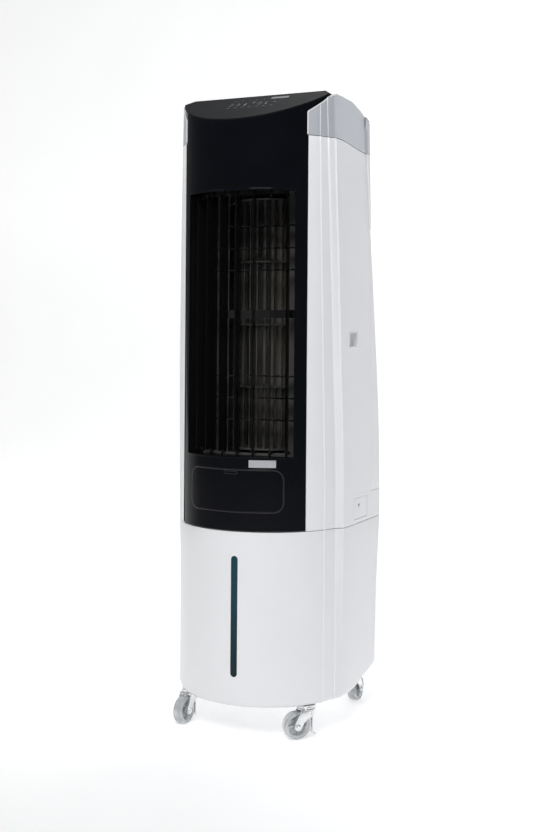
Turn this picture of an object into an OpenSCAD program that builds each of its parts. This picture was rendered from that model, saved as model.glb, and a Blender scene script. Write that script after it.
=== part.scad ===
// Tower air cooler on four castors: a water tank below, and above it a louvred
// air outlet in front of a cross-flow fan, with a wetted pad behind a rear grille.
// Millimetres. Z is up, the front faces -Y, and the floor is z = 0.
// Depths (Y) are stated from the middle of the front face and shifted by framed().

/* [Body] */
// Radius of the curved front
front_r = 168; // [165:1:172]
// Height of the tank's lower edge
tank_z0 = 62; // [62:1:64]
// Height of the seam between tank and upper body
tank_z1 = 382; // [372:1:382]
// Wall thickness of the moulded shells
wall = 3; // [2.5:0.1:3.5]
// Radius of the rear upright corners
corner_r = 32; // [24:1:36]
// Half angle of the black front panel on the front's curve
panel_half_angle = 48.4; // [46:0.1:49]

/* [Top] */
// Height of the ridge, the highest line of the cooler
ridge_z = 1198; // [1194:1:1200]
// Depth of the ridge behind the front face
ridge_y = 111; // [105:1:115]
// Slope of the control deck in degrees
deck_tilt = 29; // [27:0.5:30]
// Height of the lower edge of the shoulder caps
cap_z0 = 1108; // [1100:1:1112]

/* [Air outlet] */
// Half width of the outlet duct
outlet_half_w = 108; // [104:1:110]
// Height of the outlet's lower edge
outlet_z0 = 516; // [510:1:520]
// Height of the outlet's upper edge
outlet_z1 = 1008; // [1000:1:1010]
// Angle between neighbouring upright louvres on their arc
louvre_step = 12.5; // [11:0.5:12.5]
// Radius of the arc of louvre pivots
louvre_arc_r = 143; // [141:1:144]
// Chord of an upright louvre
louvre_chord = 26; // [22:1:26]
// Chord of a horizontal blade
blade_chord = 24; // [20:1:24]

/* [Fan] */
// Radius of the cross-flow rotor
rotor_r = 62; // [56:1:62]
// Blades in the rotor
rotor_blades = 24; // [18:1:30]
// Depth of the rotor axis behind the front face
rotor_y = 167; // [166:1:168]

/* [Castors] */
// Wheel radius
wheel_r = 25; // [24:0.5:25]
// Wheel width
wheel_w = 19; // [17:1:20]
// Trail from swivel axis to wheel axle
trail = 20; // [18:1:20]

/* [Hidden] */

$fn = 48;
round_fn = 180;

// ---- outline of the body: half width and back depth against height ----
half_widths = [[62, 171.5], [230, 173.6], [382, 176], [520, 176], [670, 173], [850, 169.3],
    [1030, 164.5], [1198, 161]];
backs = [[62, 337], [230, 338], [382, 350], [551, 344.5], [663, 338], [804, 323], [1031, 301],
    [1198, 288]];
// depth of the shoulder line where the flank begins
shoulders = [[62, 137], [230, 132], [382, 127.5], [520, 125], [670, 117], [850, 113],
    [1030, 108], [1198, 106]];
crease_angles = [[480, 73], [1097, 63.7], [1198, 62.2]];
upper_levels = [385, 460, 551, 670, 804, 930, 1031, 1107];
tank_levels = [62, 64.5, 71, 230, 382];
tank_insets = [7, 2.4, 0, 0, 0];
floor_rise_y = 198;
floor_rise = 0.2;
floor_t = 5;
deck_t = 2.5;
upper_z0 = tank_z1 + deck_t;
upper_z1 = cap_z0 - 1;

// ---- rear cover and its grille ----
cover_z0 = 437;
cover_z1 = 1004;
cover_y0 = 270;
cover_y1 = 278;
grille_half_w = 112;
grille_z0 = 462;
grille_z1 = 980;
grille_pitch = 18.5;

// ---- fill door on the right side ----
door_y0 = 176;
door_y1 = 245;
door_z0 = 391;
door_z1 = 431;
door_x = 173.2;
door_t = 2.6;
door_pin_r = 0.9;
chute_x0 = 140.5;
chute_x1 = 162;

// ---- finger notches on both sides ----
notch_y = [154.5, 202.5];
notch_z = [720, 749];
notch_deep = 12;

// ---- water level window ----
window_x = 9;
window_half_w = 6.5;
window_z = [117, 338];

// ---- shoulder caps ----
cap_x0 = 124;
cap_top_x0 = 150;
cap_profile = [[40, cap_z0], [40, 1139.6], [54, 1150], [100, 1187], [112, 1191],
    [191, 1191], [239, 1181], [279, 1166], [288, 1157], [300, 1130], [300, cap_z0]];
deck_plate_t = 2.5;
ridge_half_w = 137;
bevel_slope = 33;

// ---- louvres and horizontal blades ----
louvre_z0 = 526;
louvre_z1 = 1000;
louvre_pin_r = 2;
pin_gap = 0.05;
crank = 12;
frame_y1 = 100;
frame_t = 3;
blade_y = 84;
blade_half_w = 96;
blade_pin_r = 2;
blade_crank = 11;
upper_blades = [946, 904, 863];
lower_blades = [664, 623, 582];

// ---- fan ----
rotor_z0 = 522;
rotor_z1 = 1002;
shaft_r = 4;

// ---- pad ----
pad_y = [240, 284];
pad_z = [422, 1000];
pad_half_w = 122;

// ---- castors: swivel axis and direction of trail for each ----
castors = [[122, 77, 222], [-122, 77, 266], [122, 318, 90], [-122, 318, 90]];
plate_turn = [53, 37, 0, 0];
plate_z = tank_z0;
axle_r = 3;
king_r = 4;

// ---- pump and float ----
pump_xy = [-126, 215];
hose_xy = [-148, 215];
hose_r = 6.5;
hose_bore = 5;
hose_top = 1019;
float_xy = [112, 150];
float_z0 = 104;
drain_xz = [90, 118];
gland_xz = [-90, 412];
gland_r = 7.5;
screw_sites = [[-110, 411], [110, 411], [-100, 1062], [100, 1062]];

function half_w(z) = lookup(z, half_widths);
function back_y(z) = lookup(z, backs);
function crease(z) = lookup(z, crease_angles);
function shoulder(z) = lookup(z, shoulders);

// Right half of the outline at height z, set in by t, from the front to the back
function half_outline(z, t) =
    let (c = crease(z), r = front_r - t, w = half_w(z) - t, b = back_y(z) - t,
        k = corner_r - t, y = shoulder(z) + t)
    concat(
        [for (i = [0:9]) let (a = c * i / 9) [r * sin(a), front_r - r * cos(a)]],
        [[w - 1.2, y], [w, y + 40]],
        [for (i = [0:5]) let (a = 18 * i) [w - k + k * cos(a), b - k + k * sin(a)]]);
function mirrored(pts) = [for (i = [len(pts) - 1:-1:1]) [-pts[i].x, pts[i].y]];
function outline(z, t) = concat(half_outline(z, t), mirrored(half_outline(z, t)));

// Solid through the body's outline at each level, cut off square at both ends
module body_loft(levels, insets) {
    last = len(levels) - 1;
    zs = concat([levels[0] - 10], levels, [levels[last] + 10]);
    ts = concat([insets[0]], insets, [insets[last]]);
    rings = [for (i = [0:last + 2]) outline(zs[i], ts[i])];
    n = len(rings[0]);
    points = [for (i = [0:last + 2]) for (p = rings[i]) [p.x, p.y, zs[i]]];
    sides = [for (i = [0:last + 1]) for (j = [0:n - 1])
        let (a = i * n + j, b = i * n + (j + 1) % n) each [[a, a + n, b], [b, a + n, b + n]]];
    caps = [[for (j = [0:n - 1]) j], [for (j = [n - 1:-1:0]) (last + 2) * n + j]];
    intersection() {
        polyhedron(points, concat(sides, caps), convexity = 4);
        box([-300, 300], [-100, 500], [levels[0], levels[last]]);
    }
}

// Shifts depths so that the middle of the footprint, rear wheels included, is at Y = 0
module framed() translate([0, -(castors[2].y + trail + wheel_r) / 2, 0]) children();

// Wedge of the front's curve between two angles from straight ahead, as a shell
module front_shell(r0, r1, a0, a1, z0, z1)
    translate([0, front_r, 0]) rotate([0, 0, a0 - 90])
        rotate_extrude(angle = a1 - a0, $fn = round_fn) translate([r0, z0])
            square([r1 - r0, z1 - z0]);

// Everything in front of or behind the upright plane at this angle of the front's curve
module beyond_angle(a)
    translate([0, front_r, 0]) rotate([0, 0, a - 90]) translate([-400, 0, 0])
        cube([800, 800, 1300]);

// Block above the control deck's plane, lowered by t
module above_deck(t)
    translate([-200, ridge_y, ridge_z - t]) rotate([deck_tilt, 0, 0])
        translate([0, -300, 0]) cube([400, 400, 200]);

// Blocks beyond the bevels at both ends of the ridge, lowered by t
module above_bevels(t)
    for (s = [-1, 1]) translate([s * ridge_half_w, 0, ridge_z - t])
        rotate([0, s * bevel_slope, 0])
            translate([-100, -20, 0]) cube([200, 400, 200]);

module along_x(x0, x1) // extrudes a (Y, Z) outline from x0 to x1
    translate([x0, 0, 0]) rotate([90, 0, 90]) linear_extrude(x1 - x0) children();

module box(x, y, z) translate([x[0], y[0], z[0]])
    cube([x[1] - x[0], y[1] - y[0], z[1] - z[0]]);

module tube(ro, ri, z0, z1, fn = $fn) translate([0, 0, z0]) difference() {
    cylinder(h = z1 - z0, r = ro, $fn = fn);
    translate([0, 0, -1]) cylinder(h = z1 - z0 + 2, r = ri, $fn = fn);
}

module rod_y(r, y0, y1) translate([0, y0, 0]) rotate([-90, 0, 0]) cylinder(h = y1 - y0, r = r);
module rod_x(r, x0, x1) translate([x0, 0, 0]) rotate([0, 90, 0]) cylinder(h = x1 - x0, r = r);

// ---- tank ----

module floor_cut(z) // everything under the tank's floor line, which rises at the back
    along_x(-300, 300) polygon([[-50, -20], [-50, z], [floor_rise_y, z],
        [500, z + (500 - floor_rise_y) * floor_rise], [500, -20]]);

module window_slot(half_w, y0, y1) // upright slot with round ends
    for (i = [0, 1]) {
        translate([window_x, 0, window_z[i] + (1 - 2 * i) * window_half_w])
            rod_y(half_w, y0, y1);
        box([window_x - half_w, window_x + half_w], [y0, y1],
            [window_z[0] + window_half_w, window_z[1] - window_half_w]);
    }

module water_tank() color("whitesmoke") framed() difference() {
    union() {
        difference() {
            body_loft(tank_levels, tank_insets);
            floor_cut(tank_z0);
        }
        intersection() {
            for (c = castors) translate([c.x, c.y, tank_z0])
                cylinder(h = 40, r = 20);
            body_loft(tank_levels, tank_insets);
        }
    }
    difference() {
        body_loft([tank_z0, 230, tank_z1, tank_z1 + 10], [for (i = [0:3]) wall]);
        floor_cut(tank_z0 + floor_t);
    }
    window_slot(window_half_w + 0.2, -5, 2.4);
    window_slot(window_half_w - 1.5, -5, 5);
    translate([drain_xz.x, 0, drain_xz.y]) rod_y(12.1, 320, 360);
}

module level_window() color("teal") framed() intersection() {
    window_slot(window_half_w, -5, 2.4);
    front_shell(front_r - 1.4, front_r - 0.2, -15, 15, 100, 350);
}

module drain_plug() color("whitesmoke") framed()
    translate([drain_xz.x, back_y(drain_xz.y), drain_xz.y]) {
        rod_y(12, -8, 0);
        rod_y(9, -1, 2.5);
        box([-8, 8], [2, 6], [-2, 2]);
    }

module chassis_deck() color("dimgray") framed() difference() {
    translate([0, 0, tank_z1]) linear_extrude(deck_t) polygon(outline(tank_z1, 2));
    translate([hose_xy.x, hose_xy.y, 370]) cylinder(h = 20, r = hose_r + 1);
    translate([float_xy.x, float_xy.y, 370]) cylinder(h = 20, r = 5);
    box([chute_x0 + 2.5, chute_x1], [door_y0 + 6.5, door_y1 - 6.5], [370, 400]);
    for (x = [-80:40:80]) translate([x, 262, 370]) cylinder(h = 20, r = 8);
}

module castor_plate() {
    translate([-13, -13, plate_z - 2.5]) cube([26, 26, 2.5]);
    translate([0, 0, plate_z - 5]) cylinder(h = 2.5, r = 15);
    translate([0, 0, plate_z - 11]) cylinder(h = 7, r = king_r);
    translate([0, 0, plate_z - 11.5]) cylinder(h = 1.5, r = 6);
}

module castor_plates() color("silver") framed()
    for (i = [0:3]) translate([castors[i].x, castors[i].y, 0]) rotate([0, 0, plate_turn[i]])
        castor_plate();

// ---- castors, drawn with the trail along +X from the swivel axis ----

module fork() difference() {
    union() {
        translate([0, 0, plate_z - 8.8]) cylinder(h = 3.5, r = 17);
        for (s = [-1, 1]) translate([0, s * 12.5, 0]) rotate([90, 0, 0])
            linear_extrude(2, center = true) {
                polygon([[-11, plate_z - 6], [12, plate_z - 6], [trail + 7, wheel_r + 2],
                    [trail + 4, wheel_r - 6], [trail - 5, wheel_r - 5], [-10, 42]]);
                translate([trail, wheel_r]) circle(r = 7);
            }
        for (s = [-1, 1]) translate([trail, s * 14.5, wheel_r]) rotate([90, 0, 0])
            cylinder(h = 3, r = 5, center = true, $fn = 6);
        translate([trail, 0, wheel_r]) rotate([90, 0, 0])
            cylinder(h = 26, r = axle_r, center = true);
        translate([-5, 0, 46]) rotate([90, 0, 0]) cylinder(h = 26, r = 1.5, center = true);
    }
    translate([0, 0, 40]) cylinder(h = 30, r = king_r + pin_gap);
    translate([0, 0, 48]) cylinder(h = 5.2, r = 8);
}

module wheel() translate([trail, 0, wheel_r]) rotate([90, 0, 0]) {
    difference() {
        union() {
            rotate_extrude($fn = 96) polygon([[18, -wheel_w / 2 + 1], [wheel_r - 2, -wheel_w / 2],
                [wheel_r, -wheel_w / 2 + 2.5], [wheel_r, wheel_w / 2 - 2.5],
                [wheel_r - 2, wheel_w / 2], [18, wheel_w / 2 - 1]]);
            cylinder(h = 5, r = 18.5, center = true);
            cylinder(h = wheel_w + 2, r = 6.5, center = true);
        }
        cylinder(h = 40, r = axle_r + pin_gap, center = true);
    }
}

module brake() difference() {
    union() {
        translate([-10, -9, 8]) cube([2, 18, 38]);
        translate([-16, -9, 8]) cube([8, 18, 2]);
        for (s = [-1, 1]) translate([0, s * 8, 0]) rotate([90, 0, 0])
            linear_extrude(2, center = true) polygon([[-10, 38], [-10, 47], [-7, 49],
                [-3, 49], [-2, 46], [-3, 43]]);
    }
    translate([-5, 0, 46]) rotate([90, 0, 0])
        cylinder(h = 30, r = 1.5 + pin_gap, center = true);
}

module at_castor(i) framed() translate([castors[i].x, castors[i].y, 0])
    rotate([0, 0, castors[i].z]) children();

module castor_fork_fr() color("silver") at_castor(0) fork();
module castor_fork_fl() color("silver") at_castor(1) fork();
module castor_fork_rr() color("silver") at_castor(2) fork();
module castor_fork_rl() color("silver") at_castor(3) fork();
module castor_wheel_fr() color("lightgray") at_castor(0) wheel();
module castor_wheel_fl() color("lightgray") at_castor(1) wheel();
module castor_wheel_rr() color("lightgray") at_castor(2) wheel();
module castor_wheel_rl() color("lightgray") at_castor(3) wheel();
module castor_brake_fr() color("gray") at_castor(0) brake();
module castor_brake_fl() color("gray") at_castor(1) brake();

// ---- upper shells ----

module cover_region(gap) // space behind the line where the rear cover wraps round
    along_x(-300, 300) polygon([[cover_y0 - gap, cover_z0 - gap], [500, cover_z0 - gap],
        [500, cover_z1 + gap], [cover_y1 - gap, cover_z1 + gap]]);

module body_shell(levels) difference() {
    inner = concat([levels[0] - 10], levels, [levels[len(levels) - 1] + 10]);
    body_loft(levels, [for (z = levels) 0]);
    body_loft(inner, [for (z = inner) wall]);
}

module side_panel() difference() { // right-hand one
    union() {
        intersection() {
            body_shell(upper_levels);
            beyond_angle(panel_half_angle + 0.2);
            box([0.2, 300], [0, 400], [0, 1300]);
        }
        box([half_w(notch_z[0]) - notch_deep - 2, half_w(notch_z[0]) - 1],
            notch_y + [-2, 2], notch_z + [-2, 2]);
        for (s = screw_sites) if (s.x > 0)
            translate([s.x, 0, s.y]) rod_y(6, back_y(s.y) - 12, back_y(s.y) - 2);
    }
    cover_region(0.5);
    box([half_w(notch_z[0]) - notch_deep, 200], notch_y, notch_z);
    for (s = screw_sites) if (s.x > 0) translate([s.x, 0, s.y]) {
        rod_y(2.05, 250, 370);
        rod_y(4.2, back_y(s.y) - 2.5, 370);
    }
}

module side_panel_right() color("whitesmoke") framed() difference() {
    side_panel();
    box([150, 200], [door_y0 - 0.4, door_y1 + 0.4], [door_z0 - 0.4, door_z1 + 0.4]);
    door_hinge(door_pin_r + pin_gap, 3.5);
}

module side_panel_left() color("whitesmoke") framed() difference() {
    mirror([1, 0, 0]) side_panel();
    translate([gland_xz.x, 0, gland_xz.y]) rod_y(gland_r + 0.1, 320, 400);
}

module shoulder_cap() difference() { // right-hand one
    intersection() {
        body_loft([cap_z0, 1200], [0, 0]);
        along_x(cap_x0, 200) polygon(cap_profile);
    }
    intersection() {
        body_loft([cap_z0 - 1, 1201], [wall, wall]);
        union() {
            along_x(0, 200) translate([0, -wall - 0.6]) polygon(cap_profile);
            box([0, cap_top_x0], [0, 400], [1000, 1300]);
            box([0, 200], [0, 400], [1000, cap_z0 + 6]);
        }
    }
    box([0, cap_top_x0], [200, 400], [1000, 1300]);
    box([0, 200], [0, ridge_y + 2.3], [ridge_z - 14, 1300]);
}

module shoulder_cap_right() color("silver") framed() shoulder_cap();
module shoulder_cap_left() color("silver") framed() mirror([1, 0, 0]) shoulder_cap();

// Black gloss front: the upright sheet, and wings that rise behind the shoulder caps
module front_panel() color("black") framed() difference() {
    union() {
        difference() {
            front_shell(front_r - wall, front_r, -panel_half_angle, panel_half_angle,
                upper_z0, ridge_z);
            for (s = [-1, 1]) box([s > 0 ? cap_x0 - 0.3 : -200, s > 0 ? 200 : -cap_x0 + 0.3],
                [0, 400], [cap_z0 - 0.5, 1300]);
        }
        difference() {
            front_shell(front_r - wall - 0.1, front_r - 0.1, -66, 66, 1130, ridge_z);
            box([-cap_x0 + 0.3, cap_x0 - 0.3], [0, 400], [1000, 1300]);
            along_x(-300, 300) translate([0, 0.5]) polygon(concat(cap_profile, [[0, cap_z0]]));
        }
    }
    above_deck(deck_plate_t);
    above_bevels(deck_plate_t);
    box([-300, 300], [ridge_y - 2, 400], [1000, 1300]);
    front_shell(100, 200, -41, 41, outlet_z0, outlet_z1);
}

module control_panel() color("darkslategray") framed() difference() {
    translate([0, front_r, 1000]) cylinder(h = ridge_z - 1000, r = front_r, $fn = round_fn);
    above_deck(0);
    above_bevels(0);
    difference() {
        box([-300, 300], [-50, 400], [900, ridge_z]);
        above_deck(deck_plate_t);
        above_bevels(deck_plate_t);
    }
    box([-300, 300], [ridge_y + 2, 400], [900, 1300]);
}

module control_board() color("seagreen") framed()
    translate([0, ridge_y, ridge_z]) rotate([deck_tilt, 0, 0])
        translate([-70, -92, -deck_plate_t - 9]) cube([140, 66, 7]);

// Cover between the shoulder caps, level behind the ridge and falling at the back
module top_cover() color("whitesmoke") framed() difference() {
    intersection() {
        body_loft([cap_z0, 1200], [0.2, 0.2]);
        along_x(-cap_top_x0 + 0.3, cap_top_x0 - 0.3) polygon([[ridge_y + 2.3, 1180],
            [ridge_y + 2.3, 1194], [191, 1194], [239, 1184], [279, 1169], [288, 1160],
            [300, 1133], [300, cap_z0], [ridge_y + 2.3, cap_z0]]);
        difference() {
            box([-200, 200], [0, 400], [1000, 1300]);
            above_bevels(4);
        }
    }
    along_x(-cap_top_x0 + 3.3, cap_top_x0 - 3.3) polygon([[ridge_y - 2, 1191], [191, 1191],
        [238, 1181], [276, 1166.5], [283, 1158], [288, 1130], [289, 1100],
        [ridge_y - 2, 1100]]);
}

// ---- rear cover with its grille ----

module rear_cover() color("whitesmoke") framed() difference() {
    intersection() {
        body_shell([430, 551, 670, 804, 930, 1010]);
        cover_region(0);
    }
    for (x = [-grille_half_w, 4]) for (z = [grille_z0:grille_pitch:grille_z1])
        box([x, x + grille_half_w - 4], [250, 400], [z, z + 9]);
}

module rear_frame() color("dimgray") framed() difference() {
    box([-138, 138], [234, 288], [406, 1008]);
    box([-pad_half_w - 0.5, pad_half_w + 0.5], [pad_y[0] - 0.5, 300], pad_z + [-0.5, 0.5]);
    box([-pad_half_w + 8, pad_half_w - 8], [200, 300], pad_z + [8, -8]);
}

module cooling_pad() color("peru") framed() box([-pad_half_w, pad_half_w], pad_y, pad_z);

// Mesh filter clipped inside the rear cover, leaning with the back of the body
module dust_filter() color("black") framed() {
    lean = atan((back_y(460) - back_y(980)) / 520);
    translate([0, back_y(460) - 9, 458]) rotate([lean, 0, 0]) {
        difference() {
            box([-118, 118], [-3, 0], [0, 530]);
            box([-111, 111], [-4, 1], [7, 523]);
        }
        box([-111, 111], [-1.8, -1.2], [7, 523]);
        for (z = [130:130:400]) box([-111, 111], [-3, 0], [z, z + 4]);
        for (x = [-40, 40]) box([x - 2, x + 2], [-3, 0], [7, 523]);
    }
}

module water_distributor() color("white") framed() difference() {
    union() {
        box([-120, 120], [242, 282], [1008.3, 1028]);
        translate([-126, 262, hose_top]) rod_x(hose_bore, -2, 8);
    }
    box([-118, 118], [244, 280], [1011, 1029]);
    translate([-130, 262, hose_top]) rod_x(3.5, 0, 14);
    for (x = [-108:24:108]) translate([x, 262, 1000]) cylinder(h = 20, r = 2);
}

// ---- water circuit ----

module pump_hose() color("lightsteelblue") framed() difference() {
    union() {
        translate([hose_xy.x, hose_xy.y, 130]) cylinder(h = hose_top - 130, r = hose_r);
        translate([hose_xy.x, hose_xy.y, hose_top]) sphere(r = hose_r);
        translate([hose_xy.x, 0, hose_top]) rod_y(hose_r, hose_xy.y, 262);
        translate([hose_xy.x, 262, hose_top]) sphere(r = hose_r);
        translate([0, 262, hose_top]) rod_x(hose_r, hose_xy.x, -121);
    }
    translate([hose_xy.x, hose_xy.y, 120]) cylinder(h = hose_top - 120, r = hose_bore);
    translate([hose_xy.x, 0, hose_top]) rod_y(hose_bore, hose_xy.y, 262);
    translate([0, 262, hose_top]) rod_x(hose_bore, hose_xy.x, -110);
}

module pump_body() color("darkgray") framed() difference() {
    union() {
        box([-155, -97], [190, 240], [76.8, 122]);
        translate([hose_xy.x, hose_xy.y, 121]) cylinder(h = 19, r = hose_bore);
    }
    translate([pump_xy.x, pump_xy.y, 78]) cylinder(h = 14, r = 18);
    translate([pump_xy.x, pump_xy.y, 60]) cylinder(h = 20, r = 7);
    translate([pump_xy.x, pump_xy.y, 90]) cylinder(h = 16, r = 2.05);
    translate([hose_xy.x, hose_xy.y, 85]) cylinder(h = 60, r = 3.5);
}

module pump_impeller() color("white") framed() translate([pump_xy.x, pump_xy.y, 0]) {
    translate([0, 0, 88]) cylinder(h = 2, r = 15);
    translate([0, 0, 82]) cylinder(h = 6, r = 3.5);
    translate([0, 0, 90]) cylinder(h = 14, r = 2);
    for (a = [0:60:300]) rotate([0, 0, a]) translate([3, -0.8, 82]) cube([11, 1.6, 6]);
}

module float_switch() color("white") framed() translate([float_xy.x, float_xy.y, 0]) {
    translate([0, 0, tank_z1 + deck_t]) cylinder(h = 6, r = 9);
    translate([0, 0, 96]) cylinder(h = tank_z1 - 90, r = 3.5);
    translate([0, 0, 94]) cylinder(h = 4, r = 8);
}

module float() color("orange") framed() translate([float_xy.x, float_xy.y, 0])
    tube(14, 3.6, float_z0, float_z0 + 26);

// ---- fan ----

module fan_rotor() color("black") framed() translate([0, rotor_y, 0]) {
    translate([0, 0, 494]) cylinder(h = 30, r = shaft_r);
    translate([0, 0, 1000]) cylinder(h = 38, r = shaft_r);
    for (z = [rotor_z0, 641, 760.5, 880, rotor_z1 - 3]) translate([0, 0, z])
        if (z == rotor_z0 || z == rotor_z1 - 3) cylinder(h = 3, r = rotor_r);
        else tube(rotor_r, rotor_r - 14, 0, 3);
    for (i = [0:rotor_blades - 1]) rotate([0, 0, i * 360 / rotor_blades])
        translate([0, 0, rotor_z0 + 1]) linear_extrude(rotor_z1 - rotor_z0 - 2)
            polygon([[rotor_r - 12, -3], [rotor_r - 6, -0.9], [rotor_r - 1, 2.6],
                [rotor_r - 0.5, 1.4], [rotor_r - 6, -2.3], [rotor_r - 12, -4.4]]);
}

module fan_motor() color("silver") framed() translate([0, rotor_y, 0]) difference() {
    union() {
        translate([0, 0, 1024]) cylinder(h = 52, r = 42);
        translate([0, 0, 1076]) cylinder(h = 8, r = 16);
        for (a = [45:90:315]) rotate([0, 0, a]) translate([36, -6, 1018.5]) cube([22, 12, 6]);
    }
    translate([0, 0, 1010]) cylinder(h = 32, r = shaft_r + pin_gap);
}

module fan_bearing() color("dimgray") framed() translate([0, rotor_y, 0])
    difference() {
        union() {
            translate([0, 0, 492]) cylinder(h = 18, r = 12);
            box([-22, 22], [-12, 12], [505, 510]);
        }
        translate([0, 0, 493.5]) cylinder(h = 20, r = shaft_r + pin_gap);
    }

// Guide walls either side of the rotor, with a plate above and below
module scroll_housing() color("black") framed() {
    plate = [[-114, frame_y1], [114, frame_y1], [114, 200], [100, 233.7], [-100, 233.7],
        [-114, 200]];
    gap_r = rotor_r + 14;
    difference() {
        for (z = [510, 1013]) translate([0, 0, z]) linear_extrude(4) polygon(plate);
        translate([0, rotor_y, 500]) cylinder(h = 530, r = shaft_r + 2);
    }
    translate([0, rotor_y, 514]) difference() {
        rotate([0, 0, -42]) rotate_extrude(angle = 92, $fn = round_fn) translate([gap_r, 0])
            square([2.5, 499]);
    }
    translate([0, 0, 514]) linear_extrude(499) {
        polygon([[111, frame_y1], [108.5, frame_y1], [56.5, 116.2], [57, 118.5]]);
        polygon([[-111, frame_y1], [-108.5, frame_y1], [-66, 122], [-67.5, 127],
            [-76, 122]]);
    }
}

module swing_motor() color("silver") framed() translate([0, front_r - louvre_arc_r, 0])
    difference() {
        union() {
            translate([0, 3, 486]) cylinder(h = 18, r = 17);
            box([-24, 24], [-4, 10], [502, 506]);
            translate([0, 0, 500]) cylinder(h = 9, r = 6);
        }
        translate([0, 0, 495]) cylinder(h = 20, r = louvre_pin_r + pin_gap);
    }

// ---- air outlet ----

function louvre_xy(i) = let (a = (i - 4) * louvre_step)
    [louvre_arc_r * sin(a), front_r - louvre_arc_r * cos(a)];

module louvre_frame() color("black") framed() difference() {
    union() {
        difference() {
            intersection() {
                box([-outlet_half_w - frame_t, outlet_half_w + frame_t], [0, frame_y1 - 0.2],
                    [509, 1016]);
                translate([0, front_r, 0])
                    cylinder(h = 1200, r = front_r - wall - 0.2, $fn = round_fn);
            }
            box([-outlet_half_w, outlet_half_w], [-10, 200], [513, 1012]);
        }
        box([-outlet_half_w - 1, outlet_half_w + 1], [72, 92], [773, 788]);
    }
    for (i = [1:7]) translate([louvre_xy(i).x, louvre_xy(i).y, 500])
        cylinder(h = 520, r = louvre_pin_r + pin_gap);
    for (z = concat(upper_blades, lower_blades)) translate([-120, blade_y, z])
        rod_x(blade_pin_r + pin_gap, 0, 240);
}

module louvre(i) framed() translate([louvre_xy(i).x, louvre_xy(i).y, 0]) {
    rotate([0, 0, (i - 4) * louvre_step]) translate([0, 0, louvre_z0])
        linear_extrude(louvre_z1 - louvre_z0) polygon([[-0.6, -louvre_chord / 2],
            [0.6, -louvre_chord / 2], [1.3, 0], [0.6, louvre_chord / 2],
            [-0.6, louvre_chord / 2], [-1.3, 0]]);
    translate([0, 0, louvre_z1 - 1]) cylinder(h = 17, r = louvre_pin_r);
    translate([0, 0, i == 4 ? 498 : 509]) cylinder(h = i == 4 ? 30 : 20, r = louvre_pin_r);
    translate([0, 0, louvre_z0 - 1.5]) cylinder(h = 3.5, r = 3.6);
    translate([-2, 0, louvre_z0 - 1.5]) cube([4, crank, 2]);
    translate([0, crank, louvre_z0 - 6]) cylinder(h = 6, r = 1.5);
}

module louvre_1() color("black") louvre(1);
module louvre_2() color("black") louvre(2);
module louvre_3() color("black") louvre(3);
module louvre_4() color("black") louvre(4);
module louvre_5() color("black") louvre(5);
module louvre_6() color("black") louvre(6);
module louvre_7() color("black") louvre(7);

// Bar that joins the seven louvre cranks
module louvre_link() color("dimgray") framed()
    translate([0, crank, louvre_z0 - 5.5]) linear_extrude(3) difference() {
        union() {
            for (i = [1:7]) translate(louvre_xy(i)) circle(r = 4);
            for (i = [1:6]) let (a = louvre_xy(i), d = louvre_xy(i + 1) - a)
                translate(a) rotate(atan2(d.y, d.x)) translate([0, -2.2]) square([norm(d), 4.4]);
        }
        for (i = [1:7]) translate(louvre_xy(i)) circle(r = 1.5 + pin_gap);
    }

module blade(z) framed() translate([0, blade_y, z]) {
    along_x(-blade_half_w, blade_half_w) polygon([[-blade_chord / 2, -0.6],
        [-blade_chord / 2, 0.6], [0, 1.4], [blade_chord / 2, 0.6], [blade_chord / 2, -0.6],
        [0, -1.4]]);
    rod_x(blade_pin_r, -outlet_half_w - frame_t, -blade_half_w + 1);
    rod_x(blade_pin_r, blade_half_w - 1, outlet_half_w + frame_t);
    along_x(-blade_half_w - 2, -blade_half_w) polygon([[-3, -3], [-3, 3], [blade_crank, 2.5],
        [blade_crank + 2.5, 0], [blade_crank, -2.5]]);
    translate([0, blade_crank, 0]) rod_x(1.5, -blade_half_w - 6.5, -blade_half_w);
}

module blade_link(zs) framed() difference() {
    x = -blade_half_w - 6;
    union() {
        along_x(x, x + 3) translate([blade_y + blade_crank - 2.5, zs[2]])
            square([5, zs[0] - zs[2]]);
        for (z = zs) translate([x, blade_y + blade_crank, z]) rod_x(3.5, 0, 3);
    }
    for (z = zs) translate([x, blade_y + blade_crank, z]) rod_x(1.5 + pin_gap, -2, 6);
}

module blade_upper_1() color("black") blade(upper_blades[0]);
module blade_upper_2() color("black") blade(upper_blades[1]);
module blade_upper_3() color("black") blade(upper_blades[2]);
module blade_upper_link() color("dimgray") blade_link(upper_blades);
module blade_lower_1() color("black") blade(lower_blades[0]);
module blade_lower_2() color("black") blade(lower_blades[1]);
module blade_lower_3() color("black") blade(lower_blades[2]);
module blade_lower_link() color("dimgray") blade_link(lower_blades);

// ---- fill door ----

module door_hinge(r, over) // pivot line of the door at its lower edge
    translate([door_x + door_t / 2, 0, door_z0 + door_t / 2])
        rod_y(r, door_y0 - over, door_y1 + over);

module fill_door() color("whitesmoke") framed() difference() {
    union() {
        box([door_x, door_x + door_t], [door_y0, door_y1], [door_z0 + door_t / 2, door_z1]);
        door_hinge(door_t / 2, 0);
        door_hinge(door_pin_r, 3);
    }
    translate([door_x + door_t, door_y0 + 28, door_z1 - 14]) rod_x(5, -1.2, 2);
}

module fill_chute() color("white") framed() difference() {
    box([chute_x0, door_x - 0.8], [door_y0 + 4, door_y1 - 4], [upper_z0, door_z1 - 2]);
    box([chute_x0 + 2.5, door_x], [door_y0 + 6.5, door_y1 - 6.5], [upper_z0 + 2, door_z1 - 4.5]);
    box([chute_x0 + 2.5, chute_x1], [door_y0 + 6.5, door_y1 - 6.5], [300, upper_z0 + 10]);
}

// ---- small parts ----

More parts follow.
